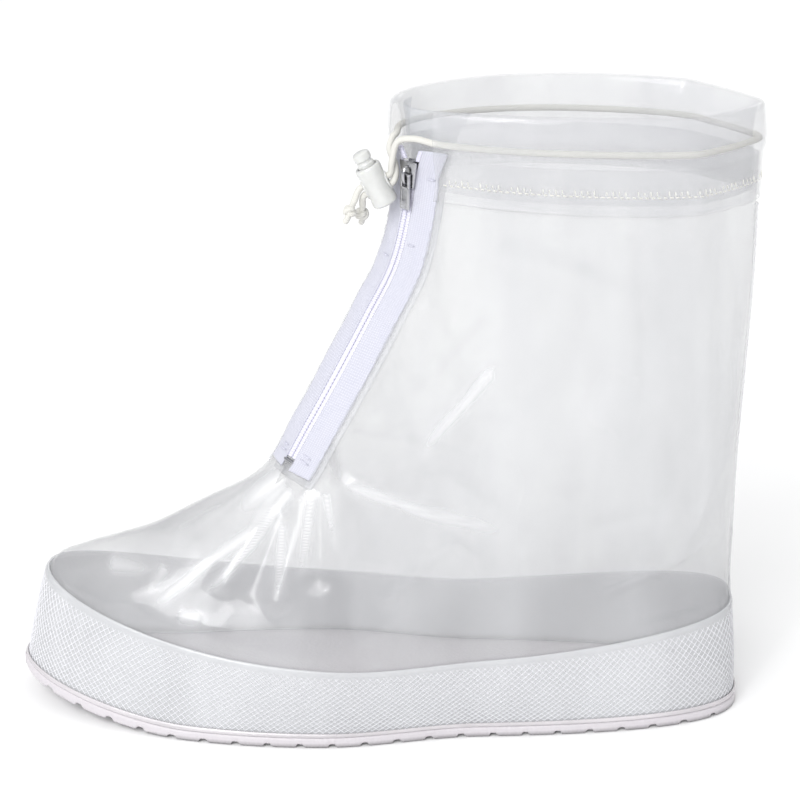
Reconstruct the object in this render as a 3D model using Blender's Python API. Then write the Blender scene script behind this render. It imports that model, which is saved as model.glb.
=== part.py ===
"""A boot-high rain cover for a shoe, in clear film with a zip, a drawcord hem and a grooved sole.

Metres, +Z up. The toe points to -X and the heel to +X, the wearer's left side faces -Y, and the
origin is the middle of the ground under the cover.
"""

import math
from functools import lru_cache

import bmesh
import bpy
from mathutils import Matrix, Vector

# Driving sizes
SOLE_LENGTH = 0.290
HEIGHT = 0.2470
BALL_HALF_WIDTH = 0.0490
HEEL_HALF_WIDTH = 0.0400
SHAFT_HALF_WIDTH = 0.0335
TOE_IN = 0.0065
GAP = 0.0003
SEAM_GAP = 0.0007
SHEET_GAP = 0.0007
TAPE_GAP = 0.0007

FILM = 0.0010
RAND_WALL = 0.0012
SEAM_WIDTH = 0.0050
SEAM_WALL = 0.0006

SOLE_PLATE = 0.0032
TREAD_DEPTH = 0.0014
TREAD_PITCH = 0.0126
TREAD_GROOVE = 0.0036
TREAD_MARGIN = 0.0100
FLANGE = 0.0022
TOE_SPRING = 0.0110
SPRING_LENGTH = 0.0680

HEM_DEPTH = 0.0320
HEM_INNER_DEPTH = 0.0290
HEM_WALL = 0.0010
FILM_TOP_DROP = 0.0165
CORD_DROP = 0.0115
CORD = 0.0026
CORD_ROOM = 0.0011

ZIP_SLOT = 0.0084
CHAIN_WIDTH = 0.0050
CHAIN_THICK = 0.0020
TAPE_WIDTH = 0.0095
TAPE_WALL = 0.0006
ZIP_END_ROW = 6.50
SLIDER_DROP = 0.0240
ZIP_TURN = 0.0155
OPEN_HALF = 0.0060
FLAP_SETBACK = 0.0015

SLIDER_LENGTH = 0.0100
SLIDER_WIDTH = 0.0092
SLIDER_PLATE = 0.0011
BRIDGE_WIRE = 0.0012
PULL_LENGTH = 0.0135
PULL_WIDTH = 0.0050
PULL_PLATE = 0.0012

LOCK_BARREL_RADIUS = 0.0050
LOCK_BARREL_LENGTH = 0.0165
LOCK_BUTTON_RADIUS = 0.0034
LOCK_BUTTON_RISE = 0.0060
LOCK_TRAVEL = 0.0025
LOCK_FLOOR = 0.0016
LOCK_CLEARANCE = 0.0003
LOCK_OFFSET = Vector((-0.0138, 0.0012, -0.0050))
LOCK_LEAN = math.radians(27.0)
KNOT_RADIUS = 0.0028

# Rings of the upper from the sole to the rim. front and back are the ring's ends: x as a share of
# SOLE_LENGTH from the middle, z as a share of HEIGHT. foot blends foot widths (1) to the shaft's (0),
# full scales them, widest is the widest place as a share of the way back, the two powers say how blunt
# the ends are, curl how fast the front's height falls away, sag how far the sides dip over HEIGHT, sole
# how much of the sole's top and toe spring is added, and crease how far the film folds to an edge at
# CREASE_SHARE of the way back and runs on nearly straight to the back seam.
CREASE_SHARE = 0.82
CREASE_POWER = 0.75
RING_COLUMNS = (
    "front_x", "front_z", "back_x", "back_z", "foot", "full", "widest",
    "front_power", "back_power", "curl", "sag", "sole", "crease",
)
RINGS = (
    (-0.4912, 0.0000, 0.4828, 0.0000, 1.00, 0.970, 0.42, 2.00, 3.0, 1.5, 0.000, 1.0, 0.00),
    (-0.4802, 0.1260, 0.4813, 0.0900, 1.00, 0.975, 0.42, 2.00, 3.0, 1.5, 0.036, 0.0, 0.00),
    (-0.4582, 0.2180, 0.4758, 0.1780, 0.96, 0.960, 0.42, 2.05, 2.8, 1.5, 0.068, 0.0, 0.00),
    (-0.4222, 0.2420, 0.4738, 0.2100, 0.80, 0.960, 0.42, 2.30, 2.6, 1.5, 0.054, 0.0, 0.00),
    (-0.3362, 0.2720, 0.4738, 0.2430, 0.60, 0.950, 0.43, 2.50, 2.5, 1.5, 0.040, 0.0, 0.00),
    (-0.2502, 0.3280, 0.4743, 0.2770, 0.40, 0.960, 0.44, 2.40, 2.4, 1.5, 0.030, 0.0, 0.00),
    (-0.1652, 0.3900, 0.4748, 0.3150, 0.20, 1.000, 0.45, 2.20, 2.3, 1.5, 0.016, 0.0, 0.00),
    (-0.1092, 0.5040, 0.4763, 0.4250, 0.08, 1.010, 0.47, 2.10, 2.2, 1.5, 0.004, 0.0, 0.00),
    (-0.0372, 0.6710, 0.4838, 0.6170, 0.00, 1.020, 0.49, 2.00, 2.2, 1.5, 0.000, 0.0, 0.10),
    (0.0008, 0.7660, 0.4878, 0.7360, 0.00, 1.010, 0.50, 2.00, 2.2, 1.5, 0.000, 0.0, 0.45),
    (0.0198, 0.8830, 0.4893, 0.8650, 0.00, 1.000, 0.50, 2.00, 2.3, 1.5, -0.003, 0.0, 0.85),
    (0.0163, 0.9500, 0.4903, 0.9400, 0.00, 1.000, 0.50, 2.00, 2.4, 1.5, -0.006, 0.0, 1.00),
    (0.0138, 0.9960, 0.4908, 0.9940, 0.00, 1.000, 0.50, 2.00, 2.5, 1.5, -0.008, 0.0, 1.00),
)
RIM_ROW = len(RINGS) - 1
RAND_ROW = 2.0

# Folds of the film as seen from the side: both ends as shares of SOLE_LENGTH (x) and HEIGHT (z), the
# half width and height over SOLE_LENGTH, and how much of the height the left and right side take.
FOLD_COLUMNS = ("x0", "z0", "x1", "z1", "half_width", "height", "left", "right")
FOLDS = (
    (-0.155, 0.350, -0.210, 0.255, 0.0120, 0.0075, 1.0, 0.8),
    (-0.133, 0.350, -0.173, 0.245, 0.0110, -0.0060, 1.0, 1.0),
    (-0.109, 0.375, -0.139, 0.235, 0.0120, 0.0080, 1.0, 0.7),
    (-0.083, 0.400, -0.087, 0.270, 0.0120, -0.0060, 0.9, 1.0),
    (-0.055, 0.410, -0.035, 0.300, 0.0130, 0.0070, 0.8, 1.0),
    (-0.255, 0.285, -0.335, 0.225, 0.0150, 0.0050, 1.0, 0.6),
    (-0.005, 0.560, 0.055, 0.380, 0.0200, 0.0060, 1.0, 0.8),
    (0.075, 0.720, 0.155, 0.560, 0.0260, -0.0070, 1.0, 0.9),
    (0.105, 0.470, 0.255, 0.330, 0.0240, -0.0070, 0.9, 1.0),
    (0.175, 0.790, 0.325, 0.700, 0.0240, 0.0060, 1.0, 1.0),
    (0.295, 0.520, 0.395, 0.330, 0.0240, 0.0060, 1.0, 0.9),
    (0.075, 0.330, 0.195, 0.230, 0.0180, 0.0050, 1.0, 1.0),
)

# Route of the drawcord's free ends, as offsets in x, y and z: from each of the casing's mouths to the
# cord lock, and from the lock to each knot. The left mouth is on the side that faces -Y.
LEFT_STRAND = (
    Vector((-0.0082, 0.0052, 0.0006)),
    Vector((-0.0144, 0.0078, -0.0014)),
    Vector((-0.0164, 0.0073, -0.0088)),
)
RIGHT_STRAND = (
    Vector((-0.0015, -0.0030, -0.0008)),
    Vector((-0.0026, -0.0058, -0.0046)),
    Vector((-0.0004, -0.0078, -0.0108)),
)
UPPER_TAIL = Vector((-0.0026, -0.0024, -0.0052))
LOWER_TAIL = Vector((-0.0006, 0.0022, -0.0052))


SOLE_TOP = SOLE_PLATE + TREAD_DEPTH


def clear_scene():
    """Remove whatever objects the scene holds."""
    for thing in list(bpy.data.objects):
        bpy.data.objects.remove(thing, do_unlink=True)


def material(name, colour, roughness, metallic=0.0):
    """A Principled material with one colour."""
    made = bpy.data.materials.new(name)
    made.use_nodes = True
    shader = made.node_tree.nodes["Principled BSDF"]
    shader.inputs["Base Color"].default_value = (*colour, 1.0)
    shader.inputs["Roughness"].default_value = roughness
    shader.inputs["Metallic"].default_value = metallic
    return made


def add_object(name, mesh, finish):
    """Put a mesh in the scene as one named piece, shaded smooth except at its hard edges."""
    piece = bpy.data.objects.new(name, mesh)
    mesh.materials.append(finish)
    mesh.shade_smooth()
    mesh.set_sharp_from_angle(angle=math.radians(50.0))
    bpy.context.scene.collection.objects.link(piece)
    return piece


def smooth_step(low, high, value):
    """0 below low, 1 above high and a smooth rise between them."""
    share = min(max((value - low) / (high - low), 0.0), 1.0)
    return share * share * (3.0 - 2.0 * share)


@lru_cache(maxsize=None)
def ring_values(row):
    """The ring table's columns at any row, whole or not, on a smooth curve through the rows."""
    below = min(max(int(math.floor(row)), 0), RIM_ROW - 1)
    share = row - below
    rows = [RINGS[min(max(below + step, 0), RIM_ROW)] for step in (-1, 0, 1, 2)]
    values = []
    for before, start, end, after in zip(*rows):
        rise_in = (end - before) / 2.0
        rise_out = (after - start) / 2.0
        values.append(
            start
            + rise_in * share
            + (3.0 * (end - start) - 2.0 * rise_in - rise_out) * share**2
            + (2.0 * (start - end) + rise_in + rise_out) * share**3
        )
    return dict(zip(RING_COLUMNS, values))


def sole_spring(x):
    """How far the sole has risen off the ground at x, towards the toe."""
    start = -SOLE_LENGTH / 2 + SPRING_LENGTH
    return TOE_SPRING * max((start - x) / SPRING_LENGTH, 0.0) ** 1.5


def ring_point(values, share, side):
    """A point of one ring: share runs from its front end to its back end, side is -1 or 1."""
    share = min(max(share, 0.0), 1.0)
    widest = values["widest"]
    front_width = SHAFT_HALF_WIDTH + (BALL_HALF_WIDTH - SHAFT_HALF_WIDTH) * values["foot"]
    heel_width = SHAFT_HALF_WIDTH + (HEEL_HALF_WIDTH - SHAFT_HALF_WIDTH) * values["foot"]
    if share < widest:
        power = values["front_power"]
        reach = (widest - share) / widest
        width = front_width * (1.0 - reach**power) ** (1.0 / power)
    else:
        power = values["back_power"]
        reach = (share - widest) / (1.0 - widest)
        taper = smooth_step(widest, 0.64, share) if widest < 0.63 else 1.0
        side_width = front_width + (heel_width - front_width) * taper
        width = side_width * (1.0 - reach**power) ** (1.0 / power)
        if share > CREASE_SHARE:
            corner = (CREASE_SHARE - widest) / (1.0 - widest)
            edge = side_width * (1.0 - corner**power) ** (1.0 / power)
            straight = edge * ((1.0 - share) / (1.0 - CREASE_SHARE)) ** CREASE_POWER
            width += (straight - width) * values["crease"]
    lean = TOE_IN * values["foot"] ** 2 * max(1.0 - share / widest, 0.0) ** 2
    x = SOLE_LENGTH * (values["front_x"] + (values["back_x"] - values["front_x"]) * share)
    rise = (values["front_z"] - values["back_z"]) * (1.0 - share) ** values["curl"]
    dip = values["sag"] * math.sin(math.pi * share**0.85)
    z = HEIGHT * (values["back_z"] + rise - dip) + values["sole"] * (SOLE_TOP + sole_spring(x))
    return Vector((x, side * width * values["full"] + lean, z))


RING_SAMPLES = 72


@lru_cache(maxsize=None)
def ring_side(row, side):
    """One side of a ring as points and the length along it to each, from front to back."""
    values = ring_values(row)
    points = []
    for step in range(RING_SAMPLES + 1):
        angle = math.pi * step / RING_SAMPLES
        points.append(ring_point(values, (1.0 - math.cos(angle)) / 2.0, side))
    lengths = [0.0]
    for start, end in zip(points, points[1:]):
        lengths.append(lengths[-1] + (end - start).length)
    return points, lengths


def side_length(row, side):
    """The length of one side of a ring."""
    return ring_side(round(row, 5), side)[1][-1]


@lru_cache(maxsize=None)
def skin_point(row, along):
    """The film's outer face: along is the length round the ring from its front, negative on the left."""
    side = -1 if along < 0 else 1
    points, lengths = ring_side(round(row, 5), side)
    wanted = min(abs(along), lengths[-1])
    step = 1
    while step < len(lengths) - 1 and lengths[step] < wanted:
        step += 1
    share = (wanted - lengths[step - 1]) / (lengths[step] - lengths[step - 1])
    return points[step - 1].lerp(points[step], share)


def skin_frame(row, along):
    """The point, the way out of the film, the way round it and the way up it."""
    reach = 0.0012
    lift = 0.05
    point = skin_point(row, along)
    limit = side_length(row, -1 if along < 0 else 1)
    before = max(along - reach, -limit)
    after = min(along + reach, limit)
    round_way = skin_point(row, after) - skin_point(row, before)
    low = max(row - lift, 0.0)
    high = min(row + lift, RIM_ROW)
    up_way = skin_point(high, along) - skin_point(low, along)
    out = up_way.cross(round_way).normalized()
    if abs(along) > limit - reach:
        out.y = 0.0
        out.normalize()
    round_way.normalize()
    return point, out, round_way, round_way.cross(out).normalized()


def on_skin(row, along, out):
    """A point that lies out from the film's outer face, or inside it if out is negative."""
    point, way_out, _, _ = skin_frame(row, along)
    return point + way_out * out


def row_at_drop(drop, along=0.0):
    """The row that lies a given depth below the rim at the front."""
    low, high = 5.0, float(RIM_ROW)
    top = skin_point(high, along).z
    for _ in range(30):
        middle = (low + high) / 2.0
        if top - skin_point(middle, along).z > drop:
            low = middle
        else:
            high = middle
    return (low + high) / 2.0


CORD_ROW = row_at_drop(CORD_DROP)
FILM_TOP_ROW = row_at_drop(FILM_TOP_DROP)
HEM_ROW = row_at_drop(HEM_DEPTH)
SLIDER_ROW = row_at_drop(SLIDER_DROP)


def zip_centre(row):
    """How far round from the front the zip's middle lies: the seam over the toe runs up to its left."""
    return -ZIP_TURN * smooth_step(RAND_ROW, ZIP_END_ROW - 0.5, row)


def open_width(row):
    """Half the gap between the open rows of the zip above the slider."""
    return OPEN_HALF * max((row - SLIDER_ROW) / (CORD_ROW - SLIDER_ROW), 0.0)


def slot_half(row):
    """Half the slot between the two panels: a seam over the toe, then wide enough for the zip."""
    slot = ZIP_SLOT / 2 - SEAM_GAP / 2
    return SEAM_GAP / 2 + slot * smooth_step(ZIP_END_ROW - 0.4, ZIP_END_ROW, row) + open_width(row)


def fold_height(point, side):
    """How far the folds lift the film at a point of one side."""
    height = 0.0
    for row in FOLDS:
        fold = dict(zip(FOLD_COLUMNS, row))
        start = Vector((fold["x0"] * SOLE_LENGTH, fold["z0"] * HEIGHT))
        end = Vector((fold["x1"] * SOLE_LENGTH, fold["z1"] * HEIGHT))
        here = Vector((point.x, point.z))
        run = end - start
        share = (here - start).dot(run) / run.length_squared
        near = start + run * min(max(share, 0.0), 1.0)
        width = fold["half_width"] * SOLE_LENGTH
        weight = fold["left"] if side < 0 else fold["right"]
        height += weight * fold["height"] * SOLE_LENGTH * math.exp(-((here - near).length / width) ** 2)
    return height


def fold_mask(row, along):
    """Keeps folds off the strips, the zip and the hem that lie on the film."""
    side = -1 if along < 0 else 1
    from_zip = abs(along - zip_centre(row)) - slot_half(row)
    from_back = side_length(row, side) - abs(along)
    clear_of_zip = TAPE_WIDTH + 0.002 if row > ZIP_END_ROW - 0.3 else 0.001
    return (
        smooth_step(RAND_ROW + 0.15, RAND_ROW + 0.9, row)
        * smooth_step(clear_of_zip, clear_of_zip + 0.008, from_zip)
        * smooth_step(SEAM_WIDTH / 2, SEAM_WIDTH / 2 + 0.010, from_back)
        * (1.0 - smooth_step(HEM_ROW - 0.7, HEM_ROW - 0.15, row))
    )


def mapped_grid(across, up, place):
    """A sheet of quads whose corners place(u, v) puts in the scene, from 0 to 1 round it and up it."""
    sheet = bmesh.new()
    bmesh.ops.create_grid(sheet, x_segments=across, y_segments=up, size=0.5)
    for corner in sheet.verts:
        u = min(max(0.5 - corner.co.x, 0.0), 1.0)
        v = min(max(corner.co.y + 0.5, 0.0), 1.0)
        corner.co = place(u, v)
    return sheet


def to_mesh(name, shape):
    """Turn a bmesh into a mesh."""
    mesh = bpy.data.meshes.new(name)
    shape.to_mesh(mesh)
    shape.free()
    return mesh


def thicken(piece, wall, inwards=True):
    """Give a sheet its wall, under its face or over it."""
    solid = piece.modifiers.new("Wall", "SOLIDIFY")
    solid.thickness = wall
    solid.offset = -1.0 if inwards else 1.0
    solid.use_even_offset = True
    solid.use_quality_normals = True
    return piece


PANEL_COLUMNS = 23


def spread(u):
    """Spacing of the columns along one side: closer together at the front and the back."""
    return u - 0.35 * math.sin(2.0 * math.pi * u) / (2.0 * math.pi)


def panel_rows():
    """The rows that carry the panels' corners, closer together where the film folds."""
    steps = ((0.0, 2.0, 4), (2.0, 7.0, 10), (7.0, 10.0, 5), (10.0, FILM_TOP_ROW, 2))
    rows = [0.0]
    for start, end, count in steps:
        rows += [start + (end - start) * step / count for step in range(1, count + 1)]
    return rows


def make_panel(name, side, finish):
    """One half of the upper, from the seam over the toe and the zip's slot round to the back seam."""
    rows = panel_rows()

    def place(u, v):
        row = rows[round(v * (len(rows) - 1))]
        edge = zip_centre(row) + side * slot_half(row)
        back_gap = SEAM_GAP / 2 + FILM / 2 * ring_values(row)["crease"]
        end = side * (side_length(row, side) - back_gap)
        share = u if side > 0 else 1.0 - u
        along = edge + (end - edge) * spread(share)
        point, out, _, _ = skin_frame(row, along)
        lift = GAP if row == 0.0 else 0.0
        return point + out * fold_height(point, side) * fold_mask(row, along) + Vector((0.0, 0.0, lift))

    mesh = to_mesh(name, mapped_grid(PANEL_COLUMNS, len(rows) - 1, place))
    return thicken(add_object(name, mesh, finish), FILM)


def make_rand(finish):
    """The mesh strip round the foot, just outside the film and closed all round."""
    levels = (0.0, 0.5, 1.0, 1.5, RAND_ROW)

    def place(u, v):
        row = levels[round(v * (len(levels) - 1))]
        side = -1 if u < 0.5 else 1
        along = side * spread(abs(2.0 * u - 1.0)) * side_length(row, side)
        lift = GAP if row == 0.0 else 0.0
        return on_skin(row, along, GAP) + Vector((0.0, 0.0, lift))

    strip = mapped_grid(2 * PANEL_COLUMNS, len(levels) - 1, place)
    bmesh.ops.remove_doubles(strip, verts=strip.verts, dist=0.00001)
    return thicken(add_object("rand", to_mesh("rand", strip), finish), RAND_WALL, inwards=False)


def make_back_seam(finish):
    """The weld strip over the joint of the panels, from the rand up to the hem."""
    start = RAND_ROW + 0.10
    end = HEM_ROW - 0.10

    def place(u, v):
        row = start + (end - start) * v
        across = (u - 0.5) * SEAM_WIDTH
        side = -1 if across > 0 else 1
        along = side * (side_length(row, side) - abs(across))
        point, _, _, _ = skin_frame(row, along)
        return point + Vector((GAP, 0.0, 0.0))

    mesh = to_mesh("back_seam", mapped_grid(4, 16, place))
    return thicken(add_object("back_seam", mesh, finish), SEAM_WALL, inwards=False)


def sole_outline(grow, count=36):
    """The sole's outline as flat points, grown outwards from the foot's lowest ring."""
    values = ring_values(0.0)
    half_turn = []
    for step in range(count + 1):
        share = (1.0 - math.cos(math.pi * step / count)) / 2.0
        half_turn.append(share)
    left = [ring_point(values, share, -1).to_2d() for share in half_turn]
    right = [ring_point(values, share, 1).to_2d() for share in reversed(half_turn[1:-1])]
    outline = left + right
    grown = []
    for index, here in enumerate(outline):
        before = outline[index - 1]
        after = outline[(index + 1) % len(outline)]
        run = (after - before).normalized()
        grown.append(here + Vector((-run.y, run.x)) * -grow)
    return grown


def make_outsole(finish):
    """The sole plate with its flange and toe spring, grooved across underneath."""
    outline = sole_outline(FLANGE)
    plate = bmesh.new()
    corners = [plate.verts.new((p.x, p.y, 0.0)) for p in outline]
    bottom = plate.faces.new(corners)
    if bottom.normal.z > 0:
        bottom.normal_flip()
    made = bmesh.ops.extrude_face_region(plate, geom=[bottom])
    top = [part for part in made["geom"] if isinstance(part, bmesh.types.BMVert)]
    bmesh.ops.translate(plate, verts=top, vec=(0.0, 0.0, SOLE_TOP))
    cuts = 7
    for step in range(1, cuts + 1):
        cut_x = -SOLE_LENGTH / 2 + SPRING_LENGTH * step / cuts
        bmesh.ops.bisect_plane(
            plate,
            geom=plate.verts[:] + plate.edges[:] + plate.faces[:],
            plane_co=(cut_x, 0.0, 0.0),
            plane_no=(1.0, 0.0, 0.0),
        )
    bmesh.ops.triangulate(plate, faces=plate.faces[:])
    for corner in plate.verts:
        corner.co.z += sole_spring(corner.co.x)
    bmesh.ops.recalc_face_normals(plate, faces=plate.faces[:])
    sole = add_object("outsole", to_mesh("outsole", plate), finish)
    grooves = bmesh.new()
    count = int((SOLE_LENGTH - 2 * TREAD_MARGIN) / TREAD_PITCH)
    first = -TREAD_PITCH * (count - 1) / 2
    for step in range(count):
        x = first + TREAD_PITCH * step
        slope = math.atan2(sole_spring(x + 0.001) - sole_spring(x - 0.001), 0.002)
        place = (
            Matrix.Translation((x, 0.0, sole_spring(x)))
            @ Matrix.Rotation(-slope, 4, "Y")
            @ Matrix.Diagonal((TREAD_GROOVE, 4 * BALL_HALF_WIDTH, 2 * TREAD_DEPTH, 1.0))
        )
        bmesh.ops.create_cube(grooves, size=1.0, matrix=place)
    cutter = add_object("sole_grooves", to_mesh("sole_grooves", grooves), finish)
    cutter.hide_render = True
    cutter.display_type = "WIRE"
    cut = sole.modifiers.new("Grooves", "BOOLEAN")
    cut.object = cutter
    cut.operation = "DIFFERENCE"
    return sole


def casing_path():
    """The casing's inner face as (drop below the rim, out from the film), outer layer first."""
    half_room = CORD / 2 + CORD_ROOM
    middle = -FILM / 2
    return (
        (HEM_DEPTH, SHEET_GAP),
        (FILM_TOP_DROP, SHEET_GAP),
        (CORD_DROP + CORD * 0.55, middle + half_room),
        (CORD_DROP - CORD * 0.55, middle + half_room),
        (CORD_DROP * 0.35, middle + half_room * 0.75),
        (0.0, middle + half_room * 0.35),
        (0.0, middle - half_room * 0.35),
        (CORD_DROP * 0.35, middle - half_room * 0.75),
        (CORD_DROP - CORD * 0.55, middle - half_room),
        (CORD_DROP + CORD * 0.55, middle - half_room),
        (FILM_TOP_DROP, -FILM - SHEET_GAP),
        (HEM_INNER_DEPTH, -FILM - SHEET_GAP),
    )


def flap_edge(side):
    """How far round the casing starts on one side, set back from the open zip."""
    return zip_centre(CORD_ROW) + side * (slot_half(CORD_ROW) + FLAP_SETBACK)


def make_hem_casing(finish):
    """The band folded over the rim, open at the front and hollow along the cord."""
    path = casing_path()
    rows = [row_at_drop(drop) for drop, _ in path]
    left, right = flap_edge(-1), flap_edge(1)

    def place(u, v):
        index = round(v * (len(path) - 1))
        side = 1 if u < 0.5 else -1
        start = right if side > 0 else left
        share = spread(2.0 * u if side > 0 else 2.0 - 2.0 * u)
        along = start + (side * side_length(rows[index], side) - start) * share
        out = path[index][1]
        if index < 2:
            from_zip = abs(along - zip_centre(rows[index])) - open_width(rows[index])
            over_tape = TAPE_WIDTH + CHAIN_WIDTH / 2 + 0.003
            out += (TAPE_GAP + TAPE_WALL) * (1.0 - smooth_step(over_tape, over_tape + 0.008, from_zip))
        return on_skin(rows[index], along, out)

    band = mapped_grid(36, len(path) - 1, place)
    bmesh.ops.remove_doubles(band, verts=band.verts, dist=0.00001)
    mesh = to_mesh("hem_casing", band)
    return thicken(add_object("hem_casing", mesh, finish), HEM_WALL, inwards=False)


def zip_point(row, across, out):
    """A point in the zip's own frame: across from its middle, out from the film's face."""
    return on_skin(row, zip_centre(row) + across, out)


def make_tape(name, side, finish):
    """One zip tape, from under the bottom stop up to just below the cord's mouth."""
    start = ZIP_END_ROW - 0.16
    end = CORD_ROW - 0.19

    def place(u, v):
        row = start + (end - start) * v
        inner = CHAIN_WIDTH / 2 + GAP + open_width(row)
        across = inner + TAPE_WIDTH * (u if side > 0 else 1.0 - u)
        return zip_point(row, side * across, TAPE_GAP)

    mesh = to_mesh(name, mapped_grid(4, 24, place))
    return thicken(add_object(name, mesh, finish), TAPE_WALL, inwards=False)


def make_bar(name, start, end, middle_of, width, thick, steps, finish):
    """A strip of square section that follows the zip, middle_of(row) from its middle."""
    low = TAPE_WALL / 2 + TAPE_GAP - thick / 2

    def place(u, v):
        row = start + (end - start) * v
        return zip_point(row, middle_of(row) + (u - 0.5) * width, low)

    mesh = to_mesh(name, mapped_grid(2, steps, place))
    return thicken(add_object(name, mesh, finish), thick, inwards=False)


def make_gusset(finish):
    """The film flap behind the zip, tucked under both panels and filling the open V."""
    start = ZIP_END_ROW - 0.30
    end = RIM_ROW - 0.10
    tuck = 0.0075

    def place(u, v):
        row = start + (end - start) * v
        opened = open_width(row)
        half = ZIP_SLOT / 2 + tuck + opened
        across = (2.0 * u - 1.0) * half
        deep = -FILM - CHAIN_THICK - 0.0024
        edge = -FILM - SHEET_GAP - (CORD + HEM_WALL) * smooth_step(HEM_ROW - 1.0, HEM_ROW - 0.2, row)
        belly = math.cos(math.pi * u - math.pi / 2.0)
        depth = edge + (deep - edge) * belly * (1.0 - smooth_step(SLIDER_ROW, SLIDER_ROW + 0.8, row))
        depth += 0.0022 * belly * smooth_step(SLIDER_ROW + 0.2, CORD_ROW, row)
        return zip_point(row, across, depth)

    mesh = to_mesh("zip_gusset", mapped_grid(6, 16, place))
    return thicken(add_object("zip_gusset", mesh, finish), 0.0008)


def box(shape, size, centre):
    """Add a box to a shape."""
    place = Matrix.Translation(centre) @ Matrix.Diagonal((*size, 1.0))
    bmesh.ops.create_cube(shape, size=1.0, matrix=place)


def fused(name, parts, finish):
    """One closed piece from boxes that overlap, each (size, centre) in the piece's own axes."""
    objects = []
    for index, (size, centre) in enumerate(parts):
        shape = bmesh.new()
        box(shape, size, centre)
        label = name if index == 0 else f"{name}_block_{index}"
        objects.append(add_object(label, to_mesh(label, shape), finish))
    for other in objects[1:]:
        join = objects[0].modifiers.new("Join", "BOOLEAN")
        join.operation = "UNION"
        join.object = other
        other.parent = objects[0]
        other.hide_render = True
        other.display_type = "WIRE"
    return objects[0]


def zip_axes(row):
    """The zip's frame at a row as a matrix: X across to the left, Y up the zip, Z out of it."""
    point, out, round_way, up = skin_frame(row, zip_centre(row))
    axes = Matrix((-round_way, up, out)).transposed().to_4x4()
    return Matrix.Translation(point) @ axes


CHAIN_TOP = TAPE_WALL / 2 + TAPE_GAP + CHAIN_THICK / 2
CHAIN_LOW = TAPE_WALL / 2 + TAPE_GAP - CHAIN_THICK / 2
PLATE_TOP_Z = CHAIN_TOP + GAP + SLIDER_PLATE
BRIDGE_GAP = BRIDGE_WIRE + 2 * GAP
HINGE_Z = PLATE_TOP_Z + BRIDGE_GAP / 2


def make_slider(finish):
    """The slider: two plates joined by a wedge at the top, with a bridge for the pull."""
    top_z = CHAIN_TOP + GAP + SLIDER_PLATE / 2
    low_z = CHAIN_LOW - GAP - SLIDER_PLATE / 2
    wedge_height = top_z - low_z
    low_width = ZIP_SLOT - 4 * GAP
    bridge_span = 0.0050
    bridge_z = PLATE_TOP_Z + BRIDGE_GAP + BRIDGE_WIRE / 2
    foot_height = bridge_z - top_z
    parts = [
        ((SLIDER_WIDTH, SLIDER_LENGTH, SLIDER_PLATE), (0.0, 0.0, top_z)),
        ((low_width, SLIDER_LENGTH, SLIDER_PLATE), (0.0, 0.0, low_z)),
        ((0.0018, 0.0030, wedge_height), (0.0, SLIDER_LENGTH / 2 - 0.0015, (top_z + low_z) / 2)),
        ((0.0018, bridge_span + 2 * BRIDGE_WIRE, BRIDGE_WIRE), (0.0, 0.0, bridge_z)),
    ]
    for end in (-1, 1):
        centre = (0.0, end * (bridge_span + BRIDGE_WIRE) / 2, (top_z + bridge_z) / 2)
        parts.append(((0.0018, BRIDGE_WIRE, foot_height), centre))
    slider = fused("zip_slider", parts, finish)
    slider.matrix_world = zip_axes(SLIDER_ROW)
    return slider


def make_pull(finish):
    """The tab that hangs from the slider's bridge, its origin on the hinge line."""
    arm_x = PULL_WIDTH / 2 - PULL_PLATE / 2
    arm_length = 0.0048
    parts = [
        ((PULL_WIDTH, PULL_PLATE, PULL_PLATE), (0.0, 0.0, 0.0)),
        ((PULL_PLATE, arm_length, PULL_PLATE), (-arm_x, -arm_length / 2, 0.0)),
        ((PULL_PLATE, arm_length, PULL_PLATE), (arm_x, -arm_length / 2, 0.0)),
        (
            (PULL_WIDTH, PULL_LENGTH - arm_length, PULL_PLATE),
            (0.0, -(PULL_LENGTH + arm_length) / 2 + 0.0003, 0.0),
        ),
    ]
    pull = fused("zip_pull", parts, finish)
    pull.matrix_world = zip_axes(SLIDER_ROW) @ Matrix.Translation((0.0, 0.0, HINGE_Z))
    return pull


def lock_axes():
    """The cord lock's frame, hung off the slider: Z towards its button, X where the cords come in."""
    centre = skin_point(SLIDER_ROW, zip_centre(SLIDER_ROW)) + LOCK_OFFSET
    return Matrix.Translation(centre) @ Matrix.Rotation(-LOCK_LEAN, 4, "Y")


STRAND_PITCH = CORD + 2 * LOCK_CLEARANCE
SLOT_LENGTH = STRAND_PITCH + CORD + 2 * LOCK_CLEARANCE
SLOT_WIDTH = CORD + 2 * LOCK_CLEARANCE


def cylinder(name, radius, low, high, finish, segments=20):
    """An upright round bar between two heights."""
    shape = bmesh.new()
    place = Matrix.Translation((0.0, 0.0, (low + high) / 2))
    bmesh.ops.create_cone(
        shape,
        cap_ends=True,
        segments=segments,
        radius1=radius,
        radius2=radius,
        depth=high - low,
        matrix=place,
    )
    return add_object(name, to_mesh(name, shape), finish)


def cut_with(piece, cutter):
    """Cut one shape out of another and keep the cutter as a hidden guide."""
    cutter.parent = piece
    cutter.hide_render = True
    cutter.display_type = "WIRE"
    cut = piece.modifiers.new("Cut", "BOOLEAN")
    cut.operation = "DIFFERENCE"
    cut.object = cutter


def slot_box(name, width, length, centre_z, finish):
    """A slot cutter that runs right across the cord lock."""
    shape = bmesh.new()
    box(shape, (4 * LOCK_BARREL_RADIUS, width, length), (0.0, 0.0, centre_z))
    return add_object(name, to_mesh(name, shape), finish)


BORE_RADIUS = LOCK_BUTTON_RADIUS + LOCK_CLEARANCE


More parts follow.
